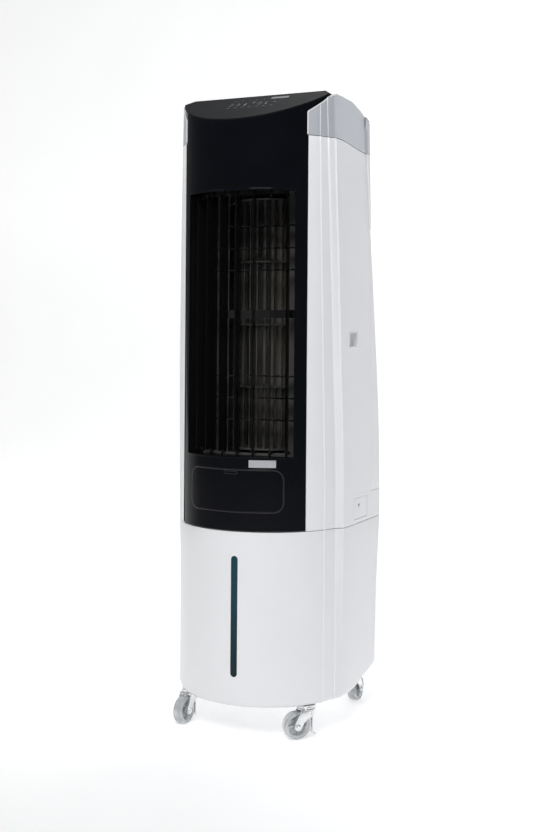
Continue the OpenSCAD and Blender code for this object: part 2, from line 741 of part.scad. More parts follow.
module cord_gland() color("dimgray") framed()
    translate([gland_xz.x, back_y(gland_xz.y), gland_xz.y]) difference() {
        union() {
            rod_y(gland_r, -8, 2.5);
            rod_y(11, -16, -4.2);
        }
        rod_y(4, -20, 10);
    }

module label_plate() color("silver") framed()
    front_shell(front_r + 0.05, front_r + 0.45, 12, 29, 500, 513.5);

module screws() color("silver") framed() for (s = screw_sites)
    translate([s.x, 0, s.y]) {
        rod_y(4, back_y(s.y) - 2.5, back_y(s.y) - 0.8);
        rod_y(2, back_y(s.y) - 10, back_y(s.y) - 2.4);
    }

water_tank();
level_window();
drain_plug();
chassis_deck();
castor_plates();
side_panel_left();
side_panel_right();
shoulder_cap_left();
shoulder_cap_right();
front_panel();
louvre_frame();
control_panel();
control_board();
top_cover();
rear_cover();
rear_frame();
cooling_pad();
dust_filter();
water_distributor();
pump_hose();
pump_body();
pump_impeller();
fan_rotor();
fan_motor();
fan_bearing();
scroll_housing();
swing_motor();
float_switch();
float();
fill_door();
fill_chute();
cord_gland();
label_plate();
screws();
louvre_1();
louvre_2();
louvre_3();
louvre_4();
louvre_5();
louvre_6();
louvre_7();
louvre_link();
blade_upper_1();
blade_upper_2();
blade_upper_3();
blade_upper_link();
blade_lower_1();
blade_lower_2();
blade_lower_3();
blade_lower_link();
castor_fork_fr();
castor_fork_fl();
castor_fork_rr();
castor_fork_rl();
castor_wheel_fr();
castor_wheel_fl();
castor_wheel_rr();
castor_wheel_rl();
castor_brake_fr();
castor_brake_fl();
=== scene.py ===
import math
from bisect import bisect_right

import bmesh
import bpy
from mathutils import Matrix, Vector


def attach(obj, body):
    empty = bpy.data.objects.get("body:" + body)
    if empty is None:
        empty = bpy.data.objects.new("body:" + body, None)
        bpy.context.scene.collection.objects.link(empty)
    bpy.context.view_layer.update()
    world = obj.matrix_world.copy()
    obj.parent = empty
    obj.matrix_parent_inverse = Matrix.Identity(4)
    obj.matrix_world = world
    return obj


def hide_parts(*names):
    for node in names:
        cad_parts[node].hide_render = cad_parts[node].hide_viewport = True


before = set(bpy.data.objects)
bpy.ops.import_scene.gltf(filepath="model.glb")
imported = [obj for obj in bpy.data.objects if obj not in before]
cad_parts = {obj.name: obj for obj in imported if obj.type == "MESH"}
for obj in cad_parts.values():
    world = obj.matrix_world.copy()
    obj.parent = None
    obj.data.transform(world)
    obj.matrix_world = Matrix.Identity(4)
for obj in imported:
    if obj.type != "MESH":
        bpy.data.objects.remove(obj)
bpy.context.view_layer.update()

# A tower air cooler. Lengths below are millimetres in the cooler's own axes: X to its
# right as it faces the viewer, Y back from the middle of its front face, Z up.
MID_Y = 181.5        # the frame's origin lies this far behind the front face
FRONT_R = 168.0      # radius of the curved front
CORNER_R = 32.0      # radius of the rear corners
WALL = 3.0
TANK_Z = (62.0, 382.0)
UPPER_Z = (382.9, 1107.0)
CAP_Z = 1108.0
RIDGE_Y, RIDGE_Z, RIDGE_HALF = 111.0, 1198.0, 137.0
DECK_TILT = math.radians(29)
PANEL_ANGLE = 48.4   # half angle of the black front
OUTLET_Z = (516.0, 1008.0)
OUTLET_ANGLE = 41.0
ROOT = "cooler"
SIDES = ((1, "right"), (-1, "left"))


def m(x, y, z):
    """A point of the cooler's own axes, in millimetres, as a place in the frame."""
    return Vector((x, y - MID_Y, z)) / 1000


def front_xy(a, r=FRONT_R):
    """X and Y at an angle round the front's axis, r from it."""
    return r * math.sin(a), FRONT_R - r * math.cos(a)


def quarter(n, first=0):
    """Angles of a quarter turn in n steps."""
    return [math.pi / 2 * k / n for k in range(first, n + 1)]


# ---- the body's outline, level by level ----

HALF_WIDTHS = [(62, 171.5), (230, 173.6), (382, 176), (520, 176), (670, 173), (850, 169.3),
               (1030, 164.5), (1198, 161)]
BACKS = [(62, 337), (230, 338), (382, 350), (551, 344.5), (663, 338), (804, 323), (1031, 301),
         (1198, 288)]
SHOULDERS = [(62, 137), (230, 132), (382, 127.5), (520, 125), (670, 117), (850, 113),
             (1030, 108), (1198, 106)]
CREASES = [(480, 73), (1097, 63.7), (1198, 62.2)]


def lookup(table, z):
    """Straight-line value of a table at a height."""
    if z <= table[0][0]:
        return table[0][1]
    if z >= table[-1][0]:
        return table[-1][1]
    i = bisect_right([k for k, _ in table], z)
    (z0, v0), (z1, v1) = table[i - 1], table[i]
    return v0 + (v1 - v0) * (z - z0) / (z1 - z0)


def smooth(table, z):
    """The table's value with its corners rounded off."""
    return sum(lookup(table, z + d) for d in (-26, -13, 0, 13, 26)) / 5


def fade(x, x0, x1):
    """0 before x0, 1 after x1, easing between."""
    t = min(1, max(0, (x - x0) / (x1 - x0)))
    return t * t * (3 - 2 * t)


def saw(s, at, height, rise=2.2, fall=16):
    """Profile of a moulded rib: a sharp step up that ends at `at`, then a long slope down."""
    if s <= at - rise or s >= at + fall:
        return 0
    if s <= at:
        return height * fade(s, at - rise, at)
    return height * (1 - (s - at) / fall) ** 1.5


COVER_Z = (437.0, 1004.0)
COVER_LINE = [(437, 270), (1004, 278)]   # where the rear cover's edge runs on the flank
DOOR_Y, DOOR_Z = (176.0, 245.0), (391.0, 431.0)
DOOR_X = 173.2
NOTCH_Y, NOTCH_Z, NOTCH_X = (154.5, 202.5), (720.0, 749.0), 160.0
GRILLE_X = (4.0, 112.0)
GRILLE_Z0, GRILLE_PITCH, SLOT_H, GRILLE_ROWS = 462.0, 18.5, 9.0, 29
WINDOW_X, WINDOW_Z = (2.4, 15.6), (116.9, 338.1)
FLOOR_RISE_Y, FLOOR_RISE, FLOOR_T = 198.0, 0.2, 5.0
FLOOR_BLEND = 90.0   # height over which the tank's rows level out above its sloped floor
SEAM_DIP = 7.0       # how far the seam under the shoulder caps falls towards the back
EASE_X, EASE_Y = 3.0, 34.0   # the flank's bow where it leaves the shoulder
DRAIN, GLAND = (90.0, 118.0), (-90.0, 412.0)   # X and Z on the back
# swivel axis X and Y, and the direction its trail points, for each castor
CASTORS = {"fr": (122, 77, 222), "fl": (-122, 77, 266), "rr": (122, 318, 90),
           "rl": (-122, 318, 90)}
SCREWS = ((-110, 411), (110, 411), (-100, 1062), (100, 1062))


def spaced(a, b, n):
    """n values from a up to, and not including, b."""
    return [a + (b - a) * i / n for i in range(n)]


class Outline:
    """Right half of the body's outline at one height, from a start angle on the front to
    the middle of the back, in columns that follow the ribs, the flank's openings and the
    edge of the rear cover from level to level."""

    def __init__(self, z, start=0.0):
        c = smooth(CREASES, z)
        w, b, sy = smooth(HALF_WIDTHS, z), smooth(BACKS, z), smooth(SHOULDERS, z)
        rib_a = lookup([(480, 62.5), (1097, 57.1)], z)
        stops = [start, start + 0.12, start + 0.4, rib_a - 1.4, rib_a, c - 1.2, c]
        counts = [1, 1, max(3, int((57 - start) / 3)), 5, 8, 5]
        angles = [a for a0, a1, n in zip(stops, stops[1:], counts) for a in spaced(a0, a1, n)]
        pts = [front_xy(math.radians(a)) for a in angles]
        self.rib_a, self.rib_b = sum(counts[:4]), len(pts)
        x0, y0 = front_xy(math.radians(c))
        x1 = w - EASE_X
        pts += [(x0 + (x1 - x0) * t ** 0.8, y0 + (sy - y0) * t) for t in spaced(0, 1, 11)]
        self.rib_c = len(pts)
        pts += [(w - EASE_X * (1 - t) ** 2, sy + EASE_Y * t) for t in spaced(0, 1, 14)]
        y1 = b - CORNER_R
        cover = lookup(COVER_LINE, z)
        stations = [sy + EASE_Y]
        for y in (*NOTCH_Y, DOOR_Y[1] + 0.4, cover - 0.5, cover):
            stations.append(max(y, stations[-1] + 0.5))
        stations.insert(2, max(DOOR_Y[0] - 0.4, stations[1] + 0.2))
        stations.append(y1)
        self.columns = {}
        for k, (ya, yb, n) in enumerate(zip(stations, stations[1:], (4, 4, 4, 6, 5, 1, 5))):
            self.columns[k] = len(pts)
            pts += [(w, y) for y in spaced(ya, yb, n)]
        for t in spaced(0, math.pi / 2, 14):
            pts.append((w - CORNER_R + CORNER_R * math.cos(t), y1 + CORNER_R * math.sin(t)))
        xs = [w - CORNER_R, GRILLE_X[1], GRILLE_X[0]]
        self.grille = (len(pts) + 2, len(pts) + 10)
        pts += [(x, b) for x in spaced(xs[0], xs[1], 2) + spaced(xs[1], xs[2], 8)]
        pts += [(xs[2], b), (0.3, b)]
        self.pts, self.z = pts, z
        ends = list(zip([pts[0]] + pts[:-1], pts[1:] + [pts[-1]]))
        turns = [Vector((q[1] - p[1], p[0] - q[0])).normalized() for p, q in ends]
        if start == 0:
            turns[0] = Vector((0, -1))
        self.normals = turns
        self.s = [0.0]
        for p, q in zip(pts, pts[1:]):
            self.s.append(self.s[-1] + math.dist(p, q))

    def ribs(self, i):
        """How far the flutes' steps stand out at column i."""
        s, at = self.s[i], self.s
        low = fade(self.z, 1066, 1020) * fade(self.z, 940, 960)
        h = saw(s, at[self.rib_a], 1.3, 1.8, 15) + saw(s, at[self.rib_b], 1.7, 2.2, 12)
        h += saw(s, at[self.rib_c], 1.3, 2.2, 22) * (0.3 + 0.7 * fade(self.z, 420, 900))
        h += saw(s, at[self.rib_c] + 12, 0.9, 1.8, 9) * low
        return h

    def row(self, inset=0.0, edge=0.0):
        """Points of the outer skin set in by `inset`, with the first column's edge rounded
        by `edge`."""
        out = []
        for i, ((x, y), n) in enumerate(zip(self.pts, self.normals)):
            h = self.ribs(i) - inset
            if edge and self.s[i] < edge:
                h -= edge - math.sqrt(edge ** 2 - (edge - self.s[i]) ** 2)
            out.append((x + n.x * h, y + n.y * h, self.z))
        return out


# ---- mesh helpers ----

def opened(mesh):
    """A mesh's data, ready to edit."""
    bm = bmesh.new()
    bm.from_mesh(mesh)
    bm.verts.ensure_lookup_table()
    return bm


def shade(mesh, angle):
    """Smooth shading, with sharp edges where faces meet at more than an angle."""
    mesh.shade_smooth()
    mesh.set_sharp_from_angle(angle=math.radians(angle))


def close(bm, mesh, angle):
    """Writes edited data back with its faces outward, smooth up to an angle."""
    bmesh.ops.recalc_face_normals(bm, faces=bm.faces)
    bm.to_mesh(mesh)
    bm.free()
    shade(mesh, angle)


def raw_mesh(name, verts, faces):
    """Mesh from points in millimetres of the cooler's axes, as they are."""
    mesh = bpy.data.meshes.new(name)
    mesh.from_pydata([m(*v) for v in verts], [], faces)
    return mesh


def linked(name, data):
    """New object in the scene."""
    obj = bpy.data.objects.new(name, data)
    bpy.context.scene.collection.objects.link(obj)
    return obj


def new_object(name, verts, faces, mat=None, angle=35):
    """Mesh object from points in millimetres of the cooler's axes."""
    mesh = raw_mesh(name, verts, faces)
    bm = opened(mesh)
    bmesh.ops.remove_doubles(bm, verts=bm.verts, dist=1e-6)
    close(bm, mesh, angle)
    if mat:
        mesh.materials.append(mat)
    return linked(name, mesh)


def ring_faces(n, count):
    """Faces of a solid made of `count` rings of n points, filled at both ends."""
    faces = [(k * n + i, k * n + (i + 1) % n, (k + 1) * n + (i + 1) % n, (k + 1) * n + i)
             for k in range(count - 1) for i in range(n)]
    return faces + [tuple(range(n)), tuple(range(count * n - 1, (count - 1) * n - 1, -1))]


def clear_rim(bm, first, second, n):
    """Deletes the faces between two rings of n vertices."""
    ends = {bm.verts[base + i] for base in (first, second) for i in range(n)}
    rim = [f for f in bm.faces if all(v in ends for v in f.verts)]
    bmesh.ops.delete(bm, geom=rim, context="FACES_ONLY")


def slab(name, outer, inner, mat, keep=None, wrap=False):
    """Closed shell between two grids of points (rows of columns). keep(row, column) says
    which cells are there; with wrap, the last column joins the first."""
    rows, cols = len(outer), len(outer[0])
    verts = [p for grid in (outer, inner) for row in grid for p in row]
    half = rows * cols
    cells = {(r, c) for r in range(rows - 1) for c in range(cols if wrap else cols - 1)
             if keep is None or keep(r, c)}
    faces = []
    for r, c in cells:
        d = (c + 1) % cols
        a, b, e, f = r * cols + c, r * cols + d, (r + 1) * cols + d, (r + 1) * cols + c
        faces += [(a, b, e, f), (half + f, half + e, half + b, half + a)]
        left, right = (r, (c - 1) % cols if wrap else c - 1), (r, d if wrap else c + 1)
        for other, u, v in (((r - 1, c), a, b), ((r + 1, c), e, f), (left, f, a), (right, b, e)):
            if other not in cells:
                faces.append((v, u, half + u, half + v))
    mesh = raw_mesh(name, verts, faces)
    bm = opened(mesh)
    bmesh.ops.delete(bm, geom=[v for v in bm.verts if not v.link_faces], context="VERTS")
    close(bm, mesh, 40)
    mesh.materials.append(mat)
    return linked(name, mesh)


def to_side(grid, side):
    """The grid as it is for side 1, or swapped left for right for side -1."""
    return [[(side * x, y, z) for x, y, z in row] for row in grid]


def mirrored(grid):
    """The grid swapped left for right, its columns in reverse order."""
    return [[(-x, y, z) for x, y, z in reversed(row)] for row in grid]


def beside(left, right):
    """Two grids side by side, as one."""
    return [a + b for a, b in zip(left, right)]


def bake(obj, angle=35):
    """Applies obj's modifiers to its mesh and shades it by angle."""
    graph = bpy.context.evaluated_depsgraph_get()
    graph.update()
    mesh = bpy.data.meshes.new_from_object(obj.evaluated_get(graph))
    obj.modifiers.clear()
    obj.data = mesh
    shade(mesh, angle)
    return obj


def cut(obj, *cutters):
    """Takes the cutters' shapes out of obj."""
    for c in cutters:
        mod = obj.modifiers.new("cut", "BOOLEAN")
        mod.operation = "DIFFERENCE"
        mod.solver = "EXACT"
        mod.object = c
    bake(obj)
    for c in cutters:
        bpy.data.objects.remove(c)
    return obj


def rounded(obj, width, angle=35, segments=2, limit=40):
    """Rounds the edges of obj that turn by more than `limit` degrees."""
    mod = obj.modifiers.new("bevel", "BEVEL")
    mod.width = width / 1000
    mod.segments = segments
    mod.limit_method = "ANGLE"
    mod.angle_limit = math.radians(limit)
    mod.harden_normals = False
    return bake(obj, angle)


def block(x, y, z, name="block", mat=None):
    """Box between the limits of x, y and z."""
    verts = [(a, b, c) for a in x for b in y for c in z]
    faces = [(0, 1, 3, 2), (4, 6, 7, 5), (0, 4, 5, 1), (2, 3, 7, 6), (0, 2, 6, 4), (1, 5, 7, 3)]
    return new_object(name, verts, faces, mat)


def prism(name, outline, lo, hi, axis="z", mat=None, angle=35):
    """Extrudes a closed outline along an axis; the outline is in the other two axes' order."""
    place = {"z": lambda u, v, w: (u, v, w), "x": lambda u, v, w: (w, u, v),
             "y": lambda u, v, w: (u, w, v)}[axis]
    verts = [place(u, v, w) for w in (lo, hi) for u, v in outline]
    return new_object(name, verts, ring_faces(len(outline), 2), mat, angle)


def lathe(name, profile, centre, axis="z", mat=None, steps=48, angle=35):
    """Turns an (r, h) profile round an axis through centre. A profile that starts and ends
    off the axis is closed into a ring."""
    ends_on_axis = profile[0][0] < 1e-6 and profile[-1][0] < 1e-6
    n = len(profile)
    verts, faces = [], []
    for k in range(steps):
        a = 2 * math.pi * k / steps
        for r, h in profile:
            u, v = r * math.cos(a), r * math.sin(a)
            p = {"z": (u, v, h), "y": (u, h, v), "x": (h, u, v)}[axis]
            verts.append(tuple(c + q for c, q in zip(centre, p)))
    spans = range(n - 1) if ends_on_axis else range(n)
    for k in range(steps):
        a, b = k * n, ((k + 1) % steps) * n
        for i in spans:
            j = (i + 1) % n
            faces.append((a + i, b + i, b + j, a + j))
    obj = new_object(name, verts, faces, mat, angle)
    bm = opened(obj.data)
    bmesh.ops.dissolve_degenerate(bm, dist=1e-7, edges=bm.edges)
    close(bm, obj.data, angle)
    return obj


def pin(h0, h1, r, centre, axis, mat, steps=20):
    """Round pin with chamfered ends."""
    profile = [(0, h0), (r - 0.3, h0), (r, h0 + 0.3), (r, h1 - 0.3), (r - 0.3, h1), (0, h1)]
    return lathe("pin", profile, centre, axis, mat, steps)


def join(name, objs):
    """Merges objects into the first one, keeping their materials."""
    base = objs[0]
    with bpy.context.temp_override(active_object=base, selected_editable_objects=objs,
                                   selected_objects=objs, object=base):
        bpy.ops.object.join()
    base.name = name
    return base


def round_rect(x0, x1, y0, y1, r):
    """Outline of a rectangle with round corners."""
    pts = []
    for cx, cy, a0 in ((x1 - r, y1 - r, 0), (x0 + r, y1 - r, 90), (x0 + r, y0 + r, 180),
                       (x1 - r, y0 + r, 270)):
        for i in range(7):
            a = math.radians(a0 + 15 * i)
            pts.append((cx + r * math.cos(a), cy + r * math.sin(a)))
    return pts


def piece(obj, body, slot, *nodes):
    """obj rides on a body and stands for these CAD nodes; slot is not used."""
    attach(obj, body)
    if nodes:
        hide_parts(*nodes)
    return obj


# ---- materials ----

class Nodes:
    """Short hand for building a material's nodes."""

    def __init__(self, name):
        self.mat = bpy.data.materials.new(name)
        self.mat.use_nodes = True
        self.tree = self.mat.node_tree
        self.shader = self.tree.nodes["Principled BSDF"]
        self.coords = self.tree.nodes.new("ShaderNodeTexCoord").outputs["Object"]

    def fill(self, node, inputs):
        """Gives the node's inputs their values, or links them to other nodes' outputs."""
        for key, value in inputs.items():
            socket = node.inputs[key.replace("_", " ")]
            if isinstance(value, bpy.types.NodeSocket):
                self.tree.links.new(value, socket)
            else:
                socket.default_value = value
        return node

    def add(self, kind, **inputs):
        return self.fill(self.tree.nodes.new("ShaderNode" + kind), inputs)

    def noise(self, scale, detail=3.0, rough=0.5, stretch=(1, 1, 1)):
        at = self.add("Mapping", Vector=self.coords, Scale=stretch).outputs[0]
        return self.add("TexNoise", Vector=at, Scale=scale, Detail=detail,
                        Roughness=rough).outputs["Fac"]

    def ramp(self, value, lo, hi, at=(0.3, 0.7)):
        node = self.add("ValToRGB", Fac=value)
        for i in (0, 1):
            c = (lo, hi)[i]
            node.color_ramp.elements[i].color = (*c, 1) if isinstance(c, tuple) else (c, c, c, 1)
            node.color_ramp.elements[i].position = at[i]
        return node.outputs["Color"]

    def number(self, value, lo, hi):
        return self.add("MapRange", Value=value, To_Min=lo, To_Max=hi).outputs[0]

    def bump(self, value, strength, distance=0.0004, under=None):
        node = self.add("Bump", Height=value, Strength=strength, Distance=distance)
        if under:
            self.tree.links.new(under, node.inputs["Normal"])
        return node.outputs[0]

    def set(self, **values):
        self.fill(self.shader, values)
        return self.mat


def plastic(name, colour, rough=(0.3, 0.4), spread=0.04, grain=0.06, grain_scale=900,
            coat=0.0, specular=0.5):
    """Moulded plastic: faint cloudiness, uneven sheen, a fine spark-eroded grain and a slow
    waviness from cooling in the mould."""
    n = Nodes(name)
    cloud = n.noise(9, 4, 0.6)
    low = tuple(max(0, c * (1 - spread)) for c in colour)
    wavy = n.bump(n.noise(14, 1, 0.3), 0.12, 0.0006)
    return n.set(Base_Color=n.ramp(cloud, low, colour),
                 Roughness=n.number(n.noise(38, 5, 0.65), *rough),
                 Normal=n.bump(n.noise(grain_scale, 2, 0.5), grain, 0.00008, wavy),
                 Coat_Weight=coat, Coat_Roughness=0.08, Specular_IOR_Level=specular)


def mottled(name, blotch, shades, gloss, rough, relief=None, at=(0.3, 0.7), **more):
    """Two shades in the pattern of a noise, a sheen that follows a second noise and, if it
    is given, the relief of a third; each noise is (scale, detail, roughness, stretch)."""
    n = Nodes(name)
    if relief:
        more["Normal"] = n.bump(n.noise(*relief[0]), *relief[1:])
    return n.set(Base_Color=n.ramp(n.noise(*blotch), *shades, at),
                 Roughness=n.number(n.noise(*gloss), *rough), **more)


def metal(name, colour, rough, stretch, scale, spread):
    """Plated or machined metal with mottled plating and fine rubbing marks."""
    low = tuple(c * (1 - spread) for c in colour)
    return mottled(name, (scale, 5, 0.7, stretch), (low, colour), (scale * 2.3, 4, 0.6), rough,
                   ((scale * 6, 3, 0.6, stretch), 0.1, 0.0001), (0.25, 0.75), Metallic=1.0)


WHITE = plastic("white_abs", (0.78, 0.785, 0.80), (0.27, 0.36), 0.025, 0.05, 1100, 0.12)
SILVER = metal("silver_paint", (0.55, 0.57, 0.605), (0.34, 0.46), (1, 1, 1), 2600, 0.08)
SILVER.node_tree.nodes["Principled BSDF"].inputs["Metallic"].default_value = 0.35
GLOSS = plastic("black_gloss", (0.0035, 0.004, 0.006), (0.06, 0.11), 0.3, 0.01, 700, 0.0, 0.08)
DECK = plastic("deck_black", (0.009, 0.0105, 0.0115), (0.42, 0.5), 0.2, 0.05, 900, 0.0, 0.02)
DUCT = plastic("duct_black", (0.010, 0.010, 0.011), (0.28, 0.4), 0.3, 0.12, 700, 0.0, 0.4)
# painted light: a grey far lighter than the duct's black gives the lit look of the wall seen
# through the outlet
SCROLL_LIT = plastic("scroll_lit_grey", (0.10, 0.097, 0.091), (0.4, 0.55), 0.2, 0.12, 700, 0.0, 0.4)
LOUVRE = plastic("louvre_black", (0.004, 0.004, 0.0045), (0.16, 0.24), 0.2, 0.02, 900, 0.0, 0.35)
ROTOR = plastic("rotor_black", (0.085, 0.083, 0.077), (0.35, 0.5), 0.3, 0.1, 600, 0.0, 0.35)
LINK = plastic("link_grey", (0.07, 0.072, 0.075), (0.35, 0.5), 0.2, 0.1)
FRAME = plastic("frame_grey", (0.10, 0.105, 0.11), (0.4, 0.55), 0.15, 0.12)
ZINC = metal("zinc_steel", (0.86, 0.87, 0.88), (0.18, 0.36), (1, 1, 1), 240, 0.2)
STEEL = metal("motor_steel", (0.5, 0.51, 0.52), (0.25, 0.4), (1, 1, 6), 120, 0.2)
WHITE_PART = plastic("white_part", (0.74, 0.74, 0.72), (0.4, 0.55), 0.06, 0.1)
PUMP = plastic("pump_grey", (0.13, 0.135, 0.14), (0.4, 0.55), 0.15, 0.12)
ORANGE = plastic("float_orange", (0.8, 0.22, 0.03), (0.3, 0.45), 0.1, 0.08)
GREY_ABS = plastic("cap_rim_white", (0.72, 0.72, 0.73), (0.25, 0.35), 0.03, 0.05, 1000, 0.1)


def window_material():
    """Tinted water-level window, paler above the water line and darker below it."""
    n = Nodes("window_teal")
    height = n.add("SeparateXYZ", Vector=n.coords).outputs["Z"]
    level = n.add("MapRange", Value=height, From_Min=0.12, From_Max=0.26).outputs[0]
    return n.set(Base_Color=n.ramp(level, (0.003, 0.018, 0.026), (0.006, 0.040, 0.056), (0.0, 1.0)),
                 Roughness=n.number(n.noise(60, 3, 0.6), 0.09, 0.17),
                 Normal=n.bump(n.noise(24, 2, 0.4), 0.08, 0.0004),
                 Specular_IOR_Level=0.2)


def pad_material():
    """Corrugated cellulose pad: brown paper, its fibre streaked in lighter and darker browns."""
    n = Nodes("pad_fibre")
    fibre = n.noise(700, 4, 0.7, (1, 1, 3))
    return n.set(Base_Color=n.ramp(fibre, (0.20, 0.115, 0.05), (0.42, 0.27, 0.13)),
                 Roughness=0.85, Normal=n.bump(fibre, 0.5, 0.0005))


def mesh_material():
    """Woven filter mesh: a fine square net, dark, with slightly shiny threads."""
    n = Nodes("filter_mesh")
    parts = n.add("SeparateXYZ", Vector=n.coords)
    waves = []
    for axis in ("X", "Z"):
        turned = n.add("Math", Value=parts.outputs[axis])
        turned.operation = "MULTIPLY"
        turned.inputs[1].default_value = 2 * math.pi / 0.0018
        wave = n.add("Math", Value=turned.outputs[0])
        wave.operation = "SINE"
        waves.append(wave.outputs[0])
    both = n.add("Math", Value=waves[0])
    both.operation = "MAXIMUM"
    n.tree.links.new(waves[1], both.inputs[1])
    net = n.number(both.outputs[0], 0, 1)
    return n.set(Base_Color=n.ramp(net, (0.002, 0.002, 0.002), (0.03, 0.03, 0.032), (0.5, 0.9)),
                 Roughness=0.5, Normal=n.bump(net, 0.6, 0.0004))


def board_material():
    """Circuit board: green lacquer with copper tracks under it."""
    n = Nodes("board_green")
    tracks = n.add("TexBrick", Vector=n.coords, Scale=90.0).outputs["Fac"]
    return n.set(Base_Color=n.ramp(tracks, (0.01, 0.12, 0.05), (0.03, 0.22, 0.09), (0.2, 0.8)),
                 Roughness=n.number(n.noise(120, 3, 0.5), 0.25, 0.4),
                 Normal=n.bump(tracks, 0.15, 0.0002))


# painted highlight: a lighter black than the front's, with more sheen, for the glints on the raised
# bezel and latch lines
TRIM_GLINT = plastic("trim_black_glint", (0.009, 0.009, 0.011), (0.16, 0.24), 0.2, 0.03, 900, 0.0, 0.4)
MARK = plastic("mark_grey", (0.19, 0.20, 0.21), (0.4, 0.5), 0.2, 0.05)
# smoky polyurethane, brushed foil and milky PVC
WHEEL = mottled("wheel_clear", (70, 4, 0.6), ((0.70, 0.72, 0.73), (0.85, 0.87, 0.88)),
                (260, 3, 0.6), (0.16, 0.3), ((500, 2, 0.5), 0.06, 0.0001),
                Transmission_Weight=0.6, IOR=1.38)
LABEL = mottled("label_silver", (400, 3, 0.6, (1, 1, 12)), ((0.42, 0.43, 0.45), (0.62, 0.63, 0.65)),
                (90, 3, 0.6), (0.3, 0.45), Metallic=0.6)
HOSE = mottled("hose_clear", (60, 3, 0.6), ((0.6, 0.66, 0.68), (0.78, 0.82, 0.83)),
               (140, 3, 0.5), (0.18, 0.3), Transmission_Weight=0.5, IOR=1.45)
WINDOW, PAD, NET, BOARD = window_material(), pad_material(), mesh_material(), board_material()

CAD_FINISH = {
    WHITE: ["water_tank", "side_panel_left", "side_panel_right", "top_cover", "rear_cover",
            "fill_door", "drain_plug"],
    SILVER: ["shoulder_cap_left", "shoulder_cap_right"],
    GLOSS: ["front_panel"],
    DECK: ["control_panel"],
    DUCT: ["louvre_frame"],
    SCROLL_LIT: ["scroll_housing"],
    ROTOR: ["fan_rotor"],
    LINK: ["louvre_link", "blade_upper_link", "blade_lower_link", "chassis_deck", "cord_gland"],
    FRAME: ["rear_frame", "fan_bearing"],
    ZINC: ["castor_plates", "screws", "castor_brake_fr", "castor_brake_fl"]
    + ["castor_fork_" + c for c in CASTORS],
    STEEL: ["fan_motor", "swing_motor"],
    WHEEL: ["castor_wheel_" + c for c in CASTORS],
    WINDOW: ["level_window"],
    LABEL: ["label_plate"],
    PAD: ["cooling_pad"],
    NET: ["dust_filter"],
    WHITE_PART: ["water_distributor", "pump_impeller", "float_switch", "fill_chute"],
    HOSE: ["pump_hose"],
    PUMP: ["pump_body"],
    ORANGE: ["float"],
    BOARD: ["control_board"],
    LOUVRE: [f"louvre_{i}" for i in range(1, 8)]
    + [f"blade_{g}_{i}" for g in ("upper", "lower") for i in (1, 2, 3)],
}
for finish, names in CAD_FINISH.items():
    for name in names:
        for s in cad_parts[name].material_slots:
            s.link = "OBJECT"
            s.material = finish


# ---- the white shells ----

RIM = ((0.0, 0.8), (0.25, 0.25), (0.8, 0.0))   # a rounded rim: distance from the edge, inset


def levels(z0, z1, step, *extra):
    """Heights of a shell's rows with the insets of their rounded rims."""
    rows = [(z0 + d, t) for d, t in RIM] + [(z1 - d, t) for d, t in reversed(RIM)]
    middle = {round(z, 3) for z in extra}
    n = int((z1 - z0) / step)
    for k in range(1, n):
        z = z0 + (z1 - z0) * k / n
        if all(abs(z - q) > step / 4 for q in middle):
            middle.add(z)
    rows += [(z, 0.0) for z in middle if z0 + 1 < z < z1 - 1]
    return sorted(rows)


def floor_line(y):
    """Height of the tank's underside, level at first and rising at the back."""
    return TANK_Z[0] + max(0, y - FLOOR_RISE_Y) * FLOOR_RISE


def seam_dip(y):
    """How far the seam under the shoulder caps has fallen at y."""
    return SEAM_DIP * fade(y, 120, 262)


def make_tank():
    """Open tank with a rounded lower edge that rises at the back."""
    fillet = 10.0
    rows = []
    for a in quarter(6):
        rows.append((TANK_Z[0] + fillet * (1 - math.cos(a)), fillet * (1 - math.sin(a))))
    rows += levels(TANK_Z[0] + fillet + 1, TANK_Z[1], 26)[3:]
    outer, inner = [], []
    for z, inset in rows:
        line = Outline(z)
        share = max(0, 1 - (z - TANK_Z[0]) / FLOOR_BLEND)
        lift = lambda y: (floor_line(y) - TANK_Z[0]) * share
        right = [(x, y, z + lift(y)) for x, y, _ in line.row(inset)]
        outer += beside(mirrored([right[1:]]), [right])
        deep = [(x, y, max(z + lift(y), floor_line(y) + FLOOR_T))
                for x, y, _ in line.row(inset + WALL)]
        inner += beside(mirrored([deep[1:]]), [deep])
    obj = slab("tank_shell", outer, inner, WHITE, wrap=True)
    bm = opened(obj.data)
    # the rim at the bottom becomes two floors: strips from side to side
    cols, half = len(outer[0]), len(outer) * len(outer[0])
    clear_rim(bm, 0, half, cols)
    for base in (0, half):
        for i in range(cols // 2):
            j = cols - 1 - i
            quad = [bm.verts[base + k] for k in dict.fromkeys((i, i + 1, j - 1, j))]
            if len(quad) > 2:
                bm.faces.new(quad)
    close(bm, obj.data, 40)
    slot_cut = prism("slot", round_rect(*WINDOW_X, *WINDOW_Z, 6.6), -8, 2.2, "y")
    x, z = DRAIN
    hole = lathe("hole", [(0, 318), (12.1, 318), (12.1, 350), (0, 350)], (x, 0, z), "y")
    cut(obj, slot_cut, hole)
    piece(obj, ROOT, "white_shell", "water_tank")


